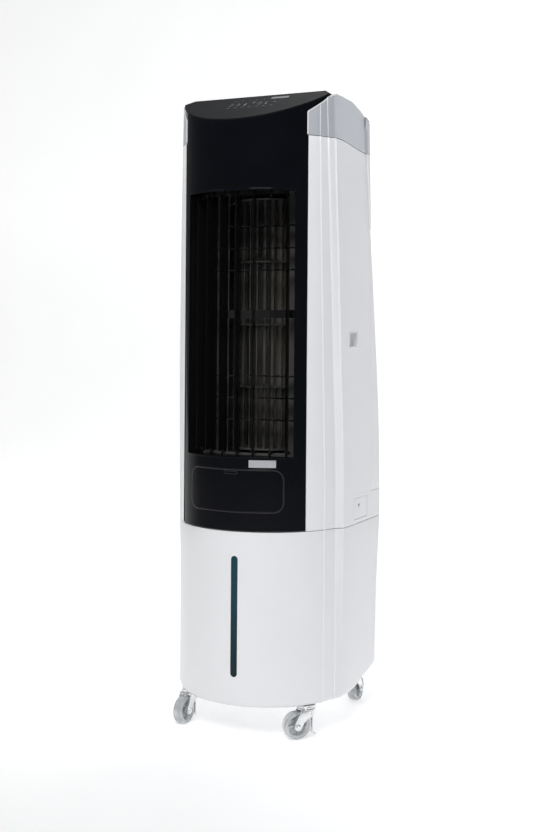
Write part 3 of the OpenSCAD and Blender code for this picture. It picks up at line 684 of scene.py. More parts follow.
def make_side_panels():
    """Both flanks, open for the notches and the rear cover; the right one also for the door."""
    rows = levels(*UPPER_Z, 24, DOOR_Z[0] - 0.4, DOOR_Z[1] + 0.4, COVER_Z[0] - 0.5, *NOTCH_Z,
                  COVER_Z[1] + 0.5)
    lines = [Outline(z, PANEL_ANGLE + 0.25) for z, _ in rows]
    col = lines[0].columns
    dip = lambda row: [(x, y, z - seam_dip(y) * fade(z, 1040, 1106)) for x, y, z in row]
    outer = [dip(line.row(t, 1.0)) for line, (_, t) in zip(lines, rows)]
    inner = [dip(line.row(t + WALL)) for line, (_, t) in zip(lines, rows)]
    zs = [z for z, _ in rows]

    def keep(door):
        def there(r, c):
            z = (zs[r] + zs[r + 1]) / 2
            if COVER_Z[0] - 0.5 < z < COVER_Z[1] + 0.5 and c >= col[5]:
                return False
            if NOTCH_Z[0] < z < NOTCH_Z[1] and col[1] <= c < col[3]:
                return False
            inside = DOOR_Z[0] - 0.4 < z < DOOR_Z[1] + 0.4 and col[2] <= c < col[4]
            return not (door and inside)
        return there

    for side, name in SIDES:
        node = "side_panel_" + name
        panel = slab(node + "_skin", to_side(outer, side), to_side(inner, side), WHITE,
                     keep(side == 1))
        piece(panel, ROOT, "white_shell", node)


def make_notches():
    """Finger notches: a dished pocket in each flank, under a rolled lip."""
    w = smooth(HALF_WIDTHS, 734)
    for side, name in SIDES:
        rings = []
        (y0, y1), (z0, z1) = NOTCH_Y, NOTCH_Z
        for x, pull in ((w + 0.1, -0.4), (w - 1.5, 0.6), (w - 7, 1.4), (NOTCH_X + 0.6, 3.5),
                        (NOTCH_X, 7)):
            loop = round_rect(y0 + pull, y1 - pull, z0 + pull, z1 - pull, 3.4 if pull < 3 else 4)
            rings.append([(side * x, y, z) for y, z in loop])
        back = [[(x - side * 1.6, y, z) for x, y, z in ring] for ring in rings]
        cup = slab("notch_" + name, rings, back, WHITE, wrap=True)
        bm = opened(cup.data)
        n = len(rings[0])
        floors = [(count * len(rings) - 1) * n for count in (1, 2)]
        clear_rim(bm, *floors, n)
        for base in floors:
            bm.faces.new([bm.verts[base + i] for i in range(n)])
        close(bm, cup.data, 50)
        piece(cup, ROOT, "white_shell")


def make_rear_cover():
    """Rear cover round both corners, with a slotted grille."""
    slots = [GRILLE_Z0 + GRILLE_PITCH * k for k in range(GRILLE_ROWS)]
    edges = [q for z in slots for q in (z, z + SLOT_H)]
    rows = levels(*COVER_Z, 30, *edges)
    lines = [Outline(z, 50) for z, _ in rows]
    zs = [z for z, _ in rows]
    first = lines[0].columns[6]
    g0, g1 = (g - first for g in lines[0].grille)
    right = [line.row(t)[first:] for line, (_, t) in zip(lines, rows)]
    deep = [line.row(t + WALL)[first:] for line, (_, t) in zip(lines, rows)]
    n = len(right[0])

    def there(r, c):
        z = (zs[r] + zs[r + 1]) / 2
        open_row = any(a < z < a + SLOT_H for a in slots)
        k = c if c < n else 2 * n - 2 - c
        return not (open_row and g0 <= k < g1)

    obj = slab("rear_cover_grille", beside(right, mirrored(right)),
               beside(deep, mirrored(deep)), WHITE, there)
    piece(obj, "back", "white_shell", "rear_cover")


# ---- shoulder caps, top cover and control deck ----

CAP_X0, CAP_INNER_X, CAP_EDGE_R = 124.0, 150.0, 3.0
LIP_BEND_Z = 1148.0   # where the cap's lip turns from the front edge onto its slope
CAP_TOP = [(40, 1139.6), (54, 1150), (100, 1187), (112, 1191), (191, 1191), (239, 1181),
           (279, 1166), (288, 1157), (300, 1130)]
BEVEL_SLOPE = math.tan(math.radians(33))


def cap_top(y):
    """Height of the cap's top; its corners behind the ridge are rounded off."""
    spread = (-7, -3.5, 0, 3.5, 7) if y > 112 else (0,)
    return sum(lookup(CAP_TOP, y + d) for d in spread) / len(spread)


def cap_columns(inset, u, drop=0.0):
    """Points of the cap's skin at share u of its height, from the front edge to where the
    top cover begins."""
    start = math.degrees(math.asin((CAP_X0 + 0.2) / FRONT_R))
    base = Outline(CAP_Z, start)
    tops = [cap_top(y) - drop for _, y in base.pts]
    lows = [CAP_Z - seam_dip(y) for _, y in base.pts]
    heights = sorted({round(lo + (hi - lo) * u, 1) for lo, hi in zip(lows, tops)})
    lines = {z: Outline(z, start) for z in heights}
    out = []
    for i, (lo, hi) in enumerate(zip(lows, tops)):
        z = lo + (hi - lo) * u
        line = lines[round(z, 1)]
        (x, y), n = line.pts[i], line.normals[i]
        h = line.ribs(i) - inset
        out.append((x + n.x * h, y + n.y * h, z))
    stop = next(i for i, p in enumerate(base.pts) if p[1] > 250 and p[0] < CAP_INNER_X + 2)
    out = out[:stop]
    out[-1] = (CAP_INNER_X + 0.1, *out[-1][1:])
    return out


def cap_lip():
    """Points along the cap's front edge: up it, then back over its slope."""
    x, y = front_xy(math.asin(CAP_X0 / FRONT_R) + math.radians(0.5))
    track = [(x, y, CAP_Z + 1 + (LIP_BEND_Z - CAP_Z) * k / 8) for k in range(9)]
    for k in range(1, 15):
        y = 56 + 50 * k / 14
        z = cap_top(y) - 1.6
        x0, y0 = front_xy(math.radians(smooth(CREASES, z)))
        t = (y - y0) / (smooth(SHOULDERS, z) - y0)
        x = x0 + (smooth(HALF_WIDTHS, z) - EASE_X - x0) * min(1, t)
        if y < y0:
            x = FRONT_R * math.sin(math.acos(1 - y / FRONT_R))
        track.append((x, y, z))
    return track


def make_caps():
    """Silver caps: a skin that follows the body's ribs, a rounded top edge and a top plate
    that runs in to the lid, with a raised lip and, along the front, a thin dark bead that is
    painted shade of a recessed line."""
    rows, deep = [], []
    for u, inset in [(0.0, 0.8), (0.006, 0.2), (0.02, 0)] + [(k / 8, 0) for k in range(1, 8)]:
        rows.append(cap_columns(inset, u, CAP_EDGE_R))
        deep.append(cap_columns(inset + WALL, u, CAP_EDGE_R))
    for a in quarter(4):
        inset, drop = CAP_EDGE_R * (1 - math.cos(a)), CAP_EDGE_R * (1 - math.sin(a))
        rows.append(cap_columns(inset, 1.0, drop))
        deep.append(cap_columns(WALL + 0.2, 1.0, CAP_EDGE_R + 0.2))
    edge = rows[-1]
    for k in (0.35, 0.7, 1.0):
        line = []
        for x, y, z in edge:
            to = CAP_X0 + 0.2 if y < 200 else CAP_INNER_X
            line.append((x + (min(x, to) - x) * k, y, z))
        rows.append(line)
        deep.append([(x, y, z - WALL) for x, y, z in line])
    track = cap_lip()
    # painted shade: a thin bead in the deck's black, 3.4 mm under the lip, stands for the shade of
    # a recessed line
    groove_shade = [(x - 0.5, y + 0.9, z - 3.4) for x, y, z in track[9:]]
    for side, name in SIDES:
        cap = slab("cap_" + name, to_side(rows, side), to_side(deep, side), SILVER)
        piece(cap, ROOT, "silver_cap", "shoulder_cap_" + name)
        bead, line = to_side([track, groove_shade], side)
        piece(sweep_tube("cap_lip_" + name, bead, 1.5, GREY_ABS), ROOT, "silver_cap")
        # the dark bead along the cap is painted shade
        piece(sweep_tube("cap_groove_shade_" + name, line, 0.85, DECK), ROOT, "deck_black")


def sweep_tube(name, path, radius, mat, sides=8):
    """Round bead along a path."""
    pts = [Vector(p) for p in path]
    verts = []
    for i, p in enumerate(pts):
        d = (pts[min(i + 1, len(pts) - 1)] - pts[max(i - 1, 0)]).normalized()
        u = d.cross(Vector((0.31, 0.87, 0.12))).normalized()
        v = d.cross(u)
        for k in range(sides):
            a = 2 * math.pi * k / sides
            verts.append(tuple(p + radius * (math.cos(a) * u + math.sin(a) * v)))
    return new_object(name, verts, ring_faces(sides, len(pts)), mat, 60)


def make_top_cover():
    """White lid behind the ridge, level at first and falling at the back."""
    half = CAP_INNER_X - 0.3
    profile = [(RIDGE_Y + 2.3, 1193.2), (RIDGE_Y + 3.2, 1194)]
    profile += [(y, cap_top(y) + 3) for y in (122, 140, 165, 185)]
    profile += [(y, cap_top(y) + 3 - 0.6 * fade(y, 200, 280)) for y in range(191, 286, 6)]
    back = smooth(BACKS, 1150)
    profile += [(back - 3.5, 1155), (back - 1.4, 1149), (back - 0.2, 1140),
                (smooth(BACKS, 1125) - 0.2, 1125),
                (smooth(BACKS, 1101) - 0.2, CAP_Z + 0.6 - SEAM_DIP)]

    def corner(x, y, z):
        """How far the rounded rear corner pulls a point of the lid forward."""
        over = max(0, abs(x) - smooth(HALF_WIDTHS, z) + CORNER_R)
        return (CORNER_R - math.sqrt(CORNER_R ** 2 - over ** 2)) * fade(y, 225, 290)

    xs = [-half, -half + 0.4, -half + 1.2] + [half * k / 12 for k in range(-11, 12)]
    xs += [half - 1.2, half - 0.4, half]
    top, under = [], []
    for y, z in profile:
        row = []
        for x in xs:
            round_off = {0: 1.0, 1: 0.35}.get(min(xs.index(x), len(xs) - 1 - xs.index(x)), 0)
            low = RIDGE_Z - 4 - max(0, abs(x) - RIDGE_HALF) * BEVEL_SLOPE
            row.append((x, y - corner(x, y, z), min(z, low) - round_off))
        top.append(row)
        steep = fade(y, 279, 286)
        under.append([(x * 0.985, q - 3 * steep, z - 3 * (1 - steep)) for x, q, z in row])
    piece(slab("top_lid", top, under, WHITE), ROOT, "white_shell", "top_cover")


def deck_point(u, v, lift=0.0):
    """u across the deck, v down its slope from the ridge."""
    c, s = math.cos(DECK_TILT), math.sin(DECK_TILT)
    return (u, RIDGE_Y - v * c - lift * s, RIDGE_Z - v * s + lift * c)


def deck_mark(outline, name, mat):
    """Printed mark on the deck: a flat shape a twentieth of a millimetre proud."""
    verts = [deck_point(u, v, h) for h in (-0.1, 0.05) for u, v in outline]
    return new_object(name, verts, ring_faces(len(outline), 2), mat)


def arc_band(cu, cv, r, w, a0, a1, n=14):
    """Outline of a curved band, for ring-like marks."""
    turn = [math.radians(a0 + (a1 - a0) * k / n) for k in range(n + 1)]
    outer = [(cu + (r + w) * math.cos(a), cv + (r + w) * math.sin(a)) for a in turn]
    return outer + [(cu + r * math.cos(a), cv + r * math.sin(a)) for a in reversed(turn)]


def make_deck_marks():
    """Generic touch marks: power, fan, drop, swing, timer, moon and a row of lamps."""
    marks = []
    bar = lambda u0, u1, v0, v1: [(u0, v0), (u1, v0), (u1, v1), (u0, v1)]
    us = [-62 + 20.5 * k for k in range(7)]
    v = 46
    marks += [arc_band(us[0], v, 3.6, 0.8, -60, 240), bar(us[0] - 0.4, us[0] + 0.4, v - 5.6, v - 1)]
    for k in range(3):
        marks.append(arc_band(us[1] + 2 * math.cos(2.1 * k), v + 2 * math.sin(2.1 * k), 1.4, 1.0,
                              120 * k - 60, 120 * k + 120, 8))
    marks.append([(us[2] + 3.2 * math.sin(t) * math.sin(t / 2) ** 1.4, v - 4.6 * math.cos(t) + 0.4)
                  for t in (2 * math.pi * k / 20 for k in range(20))])
    marks += [arc_band(us[3], v + 4, 7, 0.8, 235, 305), arc_band(us[3], v + 1, 7, 0.8, 240, 300)]
    marks += [arc_band(us[4], v, 3.8, 0.7, 0, 352, 20), bar(us[4] - 0.3, us[4] + 0.3, v - 3, v),
              bar(us[4], us[4] + 2.2, v - 0.3, v + 0.3)]
    marks.append(arc_band(us[5], v, 2.6, 1.5, 40, 250))
    marks += [arc_band(us[6], v + 1.5 * k, 2.4 + 1.2 * k, 0.7, 220, 320, 8) for k in range(3)]
    for k, u in enumerate(us):
        marks += [arc_band(u, v - 13, 0.02, 0.9, 0, 350, 8), bar(u - 4, u + 4, v + 9.4, v + 10)]
    marks.append(round_rect(34, 70, 14, 24, 2))
    marks = [[(0.72 * a + 6, v + 1.75 * (b - v)) for a, b in o] for o in marks[:-1]] + marks[-1:]
    objs = [deck_mark(o, f"mark_{k}", MARK) for k, o in enumerate(marks)]
    piece(join("deck_marks", objs), ROOT, "deck_black")


# ---- black front ----

def ring_band(name, outline, width, r0, r1, mat):
    """Raised line round a closed outline on the curved front."""
    cu = sum(u for u, _ in outline) / len(outline)
    cv = sum(v for _, v in outline) / len(outline)
    n = len(outline)
    inner = []
    for i in range(n):
        p, q = Vector(outline[i - 1]), Vector(outline[(i + 1) % n])
        d = (q - p).normalized()
        side = Vector((d.y, -d.x))
        if side.dot(Vector((cu - outline[i][0], cv - outline[i][1]))) < 0:
            side = -side
        inner.append(tuple(Vector(outline[i]) + side * width))
    mid = [tuple((Vector(a) + Vector(b)) / 2) for a, b in zip(outline, inner)]
    verts, faces = [], []
    for ring, r in ((outline, r0), (mid, r1), (inner, r0), (mid, r0 - 0.6)):
        verts += [(*front_xy(u / FRONT_R, r), v) for u, v in ring]
    for k in range(4):
        for i in range(n):
            j = (i + 1) % n
            b = ((k + 1) % 4) * n
            faces.append((k * n + i, k * n + j, b + j, b + i))
    return new_object(name, verts, faces, mat, 70)


def dense_loop(outline, step=4.0):
    """The outline with points added so that none of its sides is longer than step."""
    out = []
    for (u0, v0), (u1, v1) in zip(outline, outline[1:] + outline[:1]):
        k = max(1, math.ceil(math.hypot(u1 - u0, v1 - v0) / step))
        out += [(u0 + (u1 - u0) * i / k, v0 + (v1 - v0) * i / k) for i in range(k)]
    return out


def make_front_trim():
    """Raised lines on the black front, the bezel's and the latch's in a lighter black that is
    painted highlight of their edge glints, and the rounded edges at its sides.
    """
    half = math.radians(OUTLET_ANGLE) * FRONT_R
    lip = dense_loop(round_rect(-half - 0.4, half + 0.4, OUTLET_Z[0] - 0.4, OUTLET_Z[1] + 0.4, 2.0))
    bezel = dense_loop(round_rect(-101, 101, 417, 497, 20))
    latch = dense_loop(round_rect(-14, 14, 487, 493, 3), 2)
    for name, outline, width, sunk, proud, mat in (("outlet_lip", lip, 3.4, 0.1, 0.5, GLOSS),
                                                   ("bezel_emboss", bezel, 3.0, 0.05, 0.5, TRIM_GLINT),
                                                   ("latch_mark", latch, 1.2, 0.05, 0.35, TRIM_GLINT)):
        band = ring_band(name, outline, width, FRONT_R - sunk, FRONT_R + proud, mat)
        piece(band, ROOT, "black_gloss")
    x, y = front_xy(math.radians(PANEL_ANGLE) - 1.6 / FRONT_R, FRONT_R + 0.1)
    for side, name in SIDES:
        edge = [(side * x, y, z) for z in (386, 700, 1105)]
        piece(sweep_tube("front_edge_" + name, edge, 0.9, GLOSS), ROOT, "black_gloss")


# ---- louvres, blades and what is behind them ----

LOUVRE_ARC_R, LOUVRE_STEP, CRANK = 143.0, 12.5, 12.0
LOUVRE_Z = (526.0, 1000.0)
BLADE_Y, BLADE_HALF = 84.0, 96.0
BLADES = {"upper": (946, 904, 863), "lower": (664, 623, 582)}


def leaf(half, thick):
    """Cross-section of a louvre: a slim lens with round edges."""
    top = []
    for k in range(9):
        t = -1 + k / 4
        top.append((half * t, thick * (0.42 + 0.58 * (1 - t * t))))
    ends = lambda s: [(s * (half + 0.35), 0.0)]
    return top + ends(1) + [(u, -v) for u, v in reversed(top)] + ends(-1)


def make_louvres():
    """Seven upright vanes on an arc, each with its pins and the crank that the link drives."""
    for i in range(1, 8):
        a = math.radians((i - 4) * LOUVRE_STEP)
        cx, cy = front_xy(a, LOUVRE_ARC_R)
        turned = [(cx - v * math.cos(a) - u * math.sin(a), cy - v * math.sin(a) + u * math.cos(a))
                  for u, v in leaf(12.6, 1.25)]
        parts = [prism(f"louvre_vane_{i}", turned, *LOUVRE_Z, "z", LOUVRE, 50)]
        low = 498 if i == 4 else 509
        for z0, z1, r in ((LOUVRE_Z[1] - 1, 1016, 2.0), (low, 529, 2.0), (524.5, 528, 3.6),
                          (997, 1001.5, 3.2)):
            parts.append(pin(z0, z1, r, (cx, cy, 0), "z", LOUVRE))
        parts.append(prism("crank", [(cx - 2, cy), (cx + 2, cy), (cx + 2.4, cy + CRANK),
                                     (cx, cy + CRANK + 2), (cx - 2.4, cy + CRANK)],
                           524.5, 526.5, "z", LOUVRE))
        parts.append(lathe("crank_pin", [(0, 520), (1.2, 520), (1.5, 520.4), (1.5, 526), (0, 526)],
                           (cx, cy + CRANK, 0), "z", LOUVRE, 16))
        piece(join(f"louvre_vane_{i}", parts), f"louvre_{i}", "link_grey", f"louvre_{i}")


def make_blades():
    """Six level blades in two groups, each with ribs, end pins and an arm for its link."""
    for group, heights in BLADES.items():
        for i, z in enumerate(heights, 1):
            name = f"blade_{group}_{i}"
            section = [(BLADE_Y + u, z + v) for u, v in leaf(11.6, 1.4)]
            parts = [prism(name + "_vane", section, -BLADE_HALF, BLADE_HALF, "x", LOUVRE, 50)]
            for x0, x1 in ((-111, -BLADE_HALF + 1), (BLADE_HALF - 1, 111)):
                parts.append(pin(x0, x1, 2, (0, BLADE_Y, z), "x", LOUVRE))
            arm = [(BLADE_Y - 3, z - 3), (BLADE_Y - 3, z + 3), (BLADE_Y + 11, z + 2.5),
                   (BLADE_Y + 13.5, z), (BLADE_Y + 11, z - 2.5)]
            parts.append(prism("arm", arm, -BLADE_HALF - 2, -BLADE_HALF, "x", LOUVRE))
            x0, x1 = -BLADE_HALF - 6.5, -BLADE_HALF
            parts.append(lathe("arm_pin", [(0, x0), (1.2, x0), (1.5, x0 + 0.3), (1.5, x1), (0, x1)],
                               (0, BLADE_Y + 11, z), "x", LOUVRE, 16))
            for k in range(7):
                x = -86 + 172 * k / 6
                rib = [(BLADE_Y - 10 + 20 * t, z + 1.5 * (1 - (2 * t - 1) ** 2) + 0.9)
                       for t in (0, 0.25, 0.5, 0.75, 1)]
                rib += [(BLADE_Y + 10, z - 0.2), (BLADE_Y - 10, z - 0.2)]
                parts.append(prism("rib", rib, x - 0.5, x + 0.5, "x", LOUVRE))
            piece(join(name + "_vane", parts), name, "link_grey", name)


# ---- castors ----

TRAIL, WHEEL_R, WHEEL_W = 20.0, 25.0, 19.0
PLATE_Z = TANK_Z[0]


def turned_to(obj, corner):
    """Places a piece drawn round the swivel axis, trail along +X, at its castor."""
    x, y, a = CASTORS[corner]
    at = Matrix.Translation(m(x, y, 0)) @ Matrix.Rotation(math.radians(a), 4, "Z")
    obj.data.transform(at @ Matrix.Translation(-m(0, 0, 0)))
    return obj


def cheek(y0, y1):
    """One side of the fork: a pressed plate that narrows to the axle."""
    out = [(-11, PLATE_Z - 5.5), (13, PLATE_Z - 5.5), (18, 46), (25.5, 33)]
    out += [(TRAIL + 7.2 * math.cos(a), WHEEL_R + 7.2 * math.sin(a))
            for a in (math.radians(30 - 22 * k) for k in range(10))]
    out += [(8, 32), (-2, 40.5), (-9, 43), (-11.5, 46)]
    return rounded(prism("cheek", out, y0, y1, "y", ZINC), 0.45, 50)


def make_castor(corner, braked):
    """Fork and wheel drawn with the swivel axis at the origin, and a pedal if it is braked."""
    on_axle = lambda name, profile, mat, steps, angle=35: lathe(
        name, profile, (TRAIL, 0, WHEEL_R), "y", mat, steps, angle)
    parts = [cheek(11.5, 13.5), cheek(-13.5, -11.5)]
    race = [(4.4, 53.4), (15.6, 53.4), (16.8, 54.0), (17.0, 55.0), (16.4, 56.4), (15.4, 56.7),
            (4.4, 56.7)]
    parts.append(lathe("race", race, (0, 0, 0), "z", ZINC, 56))
    parts.append(lathe("cup", [(4.4, 51), (8, 51), (10.5, 52.2), (12.5, 53.5), (4.4, 53.5)],
                       (0, 0, 0), "z", ZINC, 40))
    for side in (-1, 1):
        hexa = [(TRAIL + 5 * math.cos(math.radians(a)), WHEEL_R + 5 * math.sin(math.radians(a)))
                for a in range(0, 360, 60)]
        lo, hi = sorted((side * 13.4, side * 16))
        parts.append(rounded(prism("nut", hexa, lo, hi, "y", ZINC), 0.5, 40, 2, 25))
        lo, hi = sorted((side * 13.4, side * 14.1))
        ring = [(3.0, lo), (6.4, lo), (6.4, hi), (3.0, hi)]
        parts.append(on_axle("washer", ring, ZINC, 32))
        end = side * 17.2
        bolt = [(0, side * 9.4), (3, side * 9.4), (3, side * 16.8), (2.5, end), (0, end)]
        parts.append(on_axle("bolt", bolt, ZINC, 24))
        rivet = [(0, side * 11), (1.5, side * 11), (2.6, side * 13.4), (2.4, side * 14.4),
                 (0, side * 14.9)]
        parts.append(lathe("rivet", rivet, (-5, 0, 46), "y", ZINC, 20))
    axle = [(0, -9.5), (3, -9.5), (3, 9.5), (0, 9.5)]
    parts.append(on_axle("axle", axle, ZINC, 24))
    fork = turned_to(join(f"fork_{corner}", parts), corner)
    piece(fork, "castor_" + corner, "zinc_steel", "castor_fork_" + corner)

    h, r = WHEEL_W / 2, WHEEL_R
    tread = [(18, -h + 1.2), (21, -h + 0.3), (r - 2.6, -h), (r - 1, -h + 0.9), (r - 0.15, -h + 2.6),
             (r, -h + 4.5), (r, h - 4.5), (r - 0.15, h - 2.6), (r - 1, h - 0.9), (r - 2.6, h),
             (21, h - 0.3), (18, h - 1.2), (17.2, 2.6), (17.2, -2.6)]
    wheel = [on_axle("tyre", tread, WHEEL, 72, 40)]
    web = [(6.2, -2.4), (17.6, -2.4), (17.6, 2.4), (6.2, 2.4)]
    wheel.append(on_axle("web", web, WHEEL, 48))
    hub = [(3.1, -h - 1), (5.8, -h - 1), (6.5, -h - 0.4), (6.5, h + 0.4), (5.8, h + 1),
           (3.1, h + 1)]
    wheel.append(on_axle("hub", hub, WHEEL, 36))
    for k in range(8):
        a = 2 * math.pi * k / 8
        for y0, y1 in ((2.2, h - 1.4), (-h + 1.4, -2.2)):
            c, s = math.cos(a), math.sin(a)
            rib = [(TRAIL + q * c - t * s, WHEEL_R + q * s + t * c)
                   for q, t in ((6.2, -0.7), (17.6, -0.6), (17.6, 0.6), (6.2, 0.7))]
            wheel.append(prism("rib", rib, y0, y1, "y", WHEEL))
    ring = [(3.05, -h - 1.05), (5.0, -h - 1.05), (5.0, -h - 1.25), (3.05, -h - 1.25)]
    wheel.append(on_axle("sleeve", ring, ZINC, 24))
    tyre = turned_to(join(f"wheel_{corner}", wheel), corner)
    piece(tyre, "wheel_" + corner, "wheel_clear", "castor_wheel_" + corner)

    if braked:
        strap = [(-10, 44), (-10.2, 40), (-10, 14), (-10.4, 11.5), (-12, 10), (-15.4, 9.6),
                 (-16, 8.9), (-15.4, 8.2), (-11.6, 8.2), (-8.9, 9.9), (-8, 13), (-8, 40), (-8, 44)]
        parts = [rounded(prism("pedal", strap, -9, 9, "y", ZINC), 0.4, 50, 2, 50)]
        for side in (-1, 1):
            ear = [(-10, 38), (-10, 46), (-9, 48.4), (-6.6, 49.4), (-3.4, 49.2), (-1.8, 47.4),
                   (-1.9, 45), (-3.4, 42.6), (-6, 40)]
            lo, hi = sorted((side * 7, side * 9))
            parts.append(rounded(prism("ear", ear, lo, hi, "y", ZINC), 0.3, 50))
        pedal = turned_to(join(f"pedal_{corner}", parts), corner)
        piece(pedal, "brake_" + corner, "zinc_steel", "castor_brake_" + corner)


# ---- fill door, water window, rear fittings ----

def make_door():
    """Door plate with a raised rounded rim, a finger dimple and a moulded mark."""
    t = 2.6
    (y0, y1), (z0, z1) = DOOR_Y, DOOR_Z
    plate = round_rect(y0, y1, z0 + 0.2, z1, 2.0)
    door = rounded(prism("door", plate, DOOR_X, DOOR_X + t, "x", WHITE), 0.5, 45, 3)
    dimple = lathe("dimple", [(0, 1.2), (3.2, 1.2), (4.6, 2.0), (5.2, 3.2), (0, 3.2)],
                   (DOOR_X, y0 + 28, z1 - 14), "x", None, 40)
    cut(door, dimple)
    pin_z = z0 + t / 2
    hinge = pin(y0 - 3, y1 + 3, 0.9, (DOOR_X + t / 2, 0, pin_z), "y", WHITE, 16)
    curl = [(0, y0 + 2), (t / 2, y0 + 2), (t / 2, y1 - 2), (0, y1 - 2)]
    roll = lathe("hinge_roll", curl, (DOOR_X + t / 2, 0, pin_z), "y", WHITE, 24)
    stem = [(0, 1.25), (2.6, 1.25), (2.6, 2.0), (2.1, 2.3), (0, 2.3)]
    key = lathe("door_key", stem, (DOOR_X, y0 + 28, z1 - 14), "x", LINK, 28)
    piece(join("fill_door_plate", [door, hinge, roll, key]), "water_door", "white_shell",
          "fill_door")
    loop = [(y0 - 5, UPPER_Z[0] + 1), (y0 - 5, z1 + 0.5)]
    loop += [(y0 - 5 + 5 * (1 - math.cos(a)), z1 + 0.5 + 5 * math.sin(a)) for a in quarter(6, 1)]
    loop += [(y1, z1 + 5.5)]
    loop += [(y1 + 5 * math.sin(a), z1 + 0.5 + 5 * math.cos(a)) for a in quarter(6, 1)]
    loop += [(y1 + 5, UPPER_Z[0] + 1)]
    path = [(lookup(HALF_WIDTHS, z) - 0.7, y, z) for y, z in loop]
    piece(sweep_tube("door_rim", path, 1.3, WHITE, 12), ROOT, "white_shell")


def make_window():
    """Bowed lens of the water gauge with a thin frame."""
    lens = dense_loop(round_rect(WINDOW_X[0] + 0.1, WINDOW_X[1] - 0.1, *WINDOW_Z, 6.4), 3)
    cu = (WINDOW_X[0] + WINDOW_X[1]) / 2
    verts = []
    for grow, r in ((1.0, FRONT_R - 2.2), (1.0, FRONT_R - 0.9), (0.86, FRONT_R - 0.35),
                    (0.45, FRONT_R - 0.15)):
        for u, v in lens:
            mid = min(max(v, WINDOW_Z[0] + 6.4), WINDOW_Z[1] - 6.4)
            a = (cu + (u - cu) * grow) / FRONT_R
            verts.append((*front_xy(a, r), mid + (v - mid) * grow))
    piece(new_object("gauge_lens", verts, ring_faces(len(lens), 4), WINDOW), ROOT, "window_teal",
          "level_window")


def make_rear_fittings():
    """Drain knob, cord grommet and screw heads."""
    x, z = DRAIN
    y = lookup(BACKS, z)
    knob = [(0, -8), (12, -8), (12, -0.4), (11.6, 0), (9.4, 0), (9, 1.8), (8.4, 2.5), (0, 2.5)]
    parts = [lathe("knob", knob, (x, y, z), "y", WHITE, 40)]
    grip = block((x - 8, x + 8), (y + 1.5, y + 6), (z - 2, z + 2), "grip", WHITE)
    parts.append(rounded(grip, 0.9, segments=3))
    piece(join("drain_knob", parts), "plug", "white_shell", "drain_plug")
    x, z = GLAND
    y = lookup(BACKS, z)
    ring = [(4, -16), (11, -16), (11, -4.4), (7.5, -4.2), (7.5, 1.6), (6.8, 2.5), (4.8, 2.5),
            (4, 1.8)]
    piece(lathe("cord_grommet", ring, (x, y, z), "y", LINK, 40), ROOT, "link_grey",
          "cord_gland")
    heads = []
    for x, z in SCREWS:
        y = lookup(BACKS, z)
        head = [(0, y - 10), (2, y - 10), (2, y - 2.5), (4, y - 2.4), (3.8, y - 1.3), (0, y - 0.9)]
        screw = lathe("screw", head, (x, 0, z), "y", ZINC, 28)
        arms = [block((x - 2.2, x + 2.2), (y - 1.9, y), (z - 0.4, z + 0.4)),
                block((x - 0.4, x + 0.4), (y - 1.9, y), (z - 2.2, z + 2.2))]
        heads.append(cut(screw, *arms))
    piece(join("screw_heads", heads), ROOT, "zinc_steel", "screws")


def make_pad():
    """Corrugated pad: flutes that slant one way on its front and the other on its back."""
    (x0, x1), (z0, z1) = (-122, 122), (422, 1000)
    nx, nz = 122, 145
    depth, lean, turn = 1.6, 0.55, 0.62
    grids = []
    for side, face in ((1, 240), (-1, 284)):
        across = [(x1 - x0) * c / nx for c in range(nx + 1)]
        heights = [z0 + (z1 - z0) * r / nz for r in range(nz + 1)]
        grids.append([[(x0 + u, face + side * depth * (1 + math.sin((z + side * lean * u) * turn)),
                        z) for u in across] for z in heights])
    piece(slab("pad_flutes", *grids, PAD), ROOT, "pad_fibre", "cooling_pad")


make_tank()
make_side_panels()
make_notches()
make_rear_cover()
make_caps()
make_top_cover()
make_deck_marks()
make_front_trim()
make_louvres()
make_blades()
for corner in CASTORS:
    make_castor(corner, corner[0] == "f")
make_door()
make_window()
make_rear_fittings()
make_pad()

# ---- camera, light and floor ----

AZIMUTH, ROLL = math.radians(23.97), math.radians(0.44)
CAMERA_AT = (963.7, -1960.6, 728.8)
FOCAL, SENSOR, SHIFT = 51.74, 36, -0.0891


def make_camera():
    """Level camera, shifted down and rolled a little, at the photo's viewpoint."""
    data = bpy.data.cameras.new("camera")
    cam = linked("camera", data)
    bpy.context.scene.camera = cam
    data.lens, data.sensor_width, data.shift_y = FOCAL, SENSOR, SHIFT
    right = Vector((math.cos(AZIMUTH), math.sin(AZIMUTH), 0))
    look = Vector((-math.sin(AZIMUTH), math.cos(AZIMUTH), 0))
    up = Vector((0, 0, 1))
    side = right * math.cos(ROLL) + up * math.sin(ROLL)
    top = up * math.cos(ROLL) - right * math.sin(ROLL)
    turn = Matrix((side, top, -look)).transposed().to_4x4()
    cam.matrix_world = Matrix.Translation(m(*CAMERA_AT)) @ turn


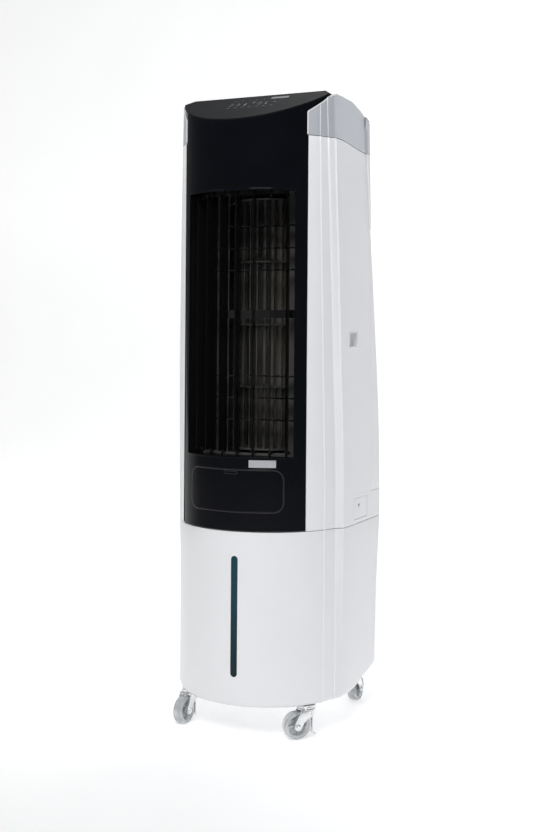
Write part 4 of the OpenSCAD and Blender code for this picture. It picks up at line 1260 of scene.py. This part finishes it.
def area_light(name, place, target, size, power, colour=(1, 1, 1)):
    data = bpy.data.lights.new(name, "AREA")
    data.shape = "RECTANGLE"
    data.size, data.size_y = size
    data.energy = power
    data.color = colour
    lamp = linked(name, data)
    lamp.location = place
    lamp.rotation_euler = (Vector(target) - Vector(place)).to_track_quat("-Z", "Y").to_euler()
    return lamp


def make_studio():
    """White sweep: a floor that curves up into a wall, a little luminous behind the cooler."""
    y0, r = 2.6, 1.5
    path = [(-7.0, -0.00005), (y0, -0.00005)]
    path += [(y0 + r * math.sin(a), r * (1 - math.cos(a))) for a in quarter(12, 1)]
    path.append((y0 + r, 7.0))
    verts = [m(x * 1000, y * 1000, z * 1000) for y, z in path for x in (-7, 7)]
    faces = [(2 * i, 2 * i + 1, 2 * i + 3, 2 * i + 2) for i in range(len(path) - 1)]
    mesh = bpy.data.meshes.new("sweep")
    mesh.from_pydata(verts, [], faces)
    mesh.shade_smooth()
    sweep = linked("sweep", mesh)
    n = Nodes("sweep_white")
    depth = n.add("SeparateXYZ", Vector=n.coords).outputs["Y"]
    glow = n.add("MapRange", Value=depth, From_Min=-0.9, From_Max=0.3, To_Min=0.05, To_Max=0.5)
    mesh.materials.append(n.set(Base_Color=n.ramp(n.noise(3, 3, 0.5), 0.84, 0.87), Roughness=0.9,
                                Emission_Color=(1, 1, 1, 1), Emission_Strength=glow.outputs[0]))
    world = bpy.data.worlds.new("studio")
    world.use_nodes = True
    world.node_tree.nodes["Background"].inputs["Color"].default_value = (0.96, 0.98, 1, 1)
    world.node_tree.nodes["Background"].inputs["Strength"].default_value = 0.18
    bpy.context.scene.world = world
    area_light("key", (0.5, -2.8, 3.1), (0, 0, 0.6), (1.6, 1.8), 100)
    area_light("left", (-2.6, -1.8, 2.9), (0, 0, 0.6), (1.4, 1.8), 14)
    area_light("right", (3.0, -1.0, 2.7), (0, 0, 0.6), (1.4, 1.8), 11, (0.85, 0.88, 1.0))
    area_light("back", (-0.4, 2.4, 3.3), (0, 0, 0.7), (2.0, 1.4), 16)
    bpy.context.scene.view_settings.view_transform = "Standard"


make_camera()
make_studio()
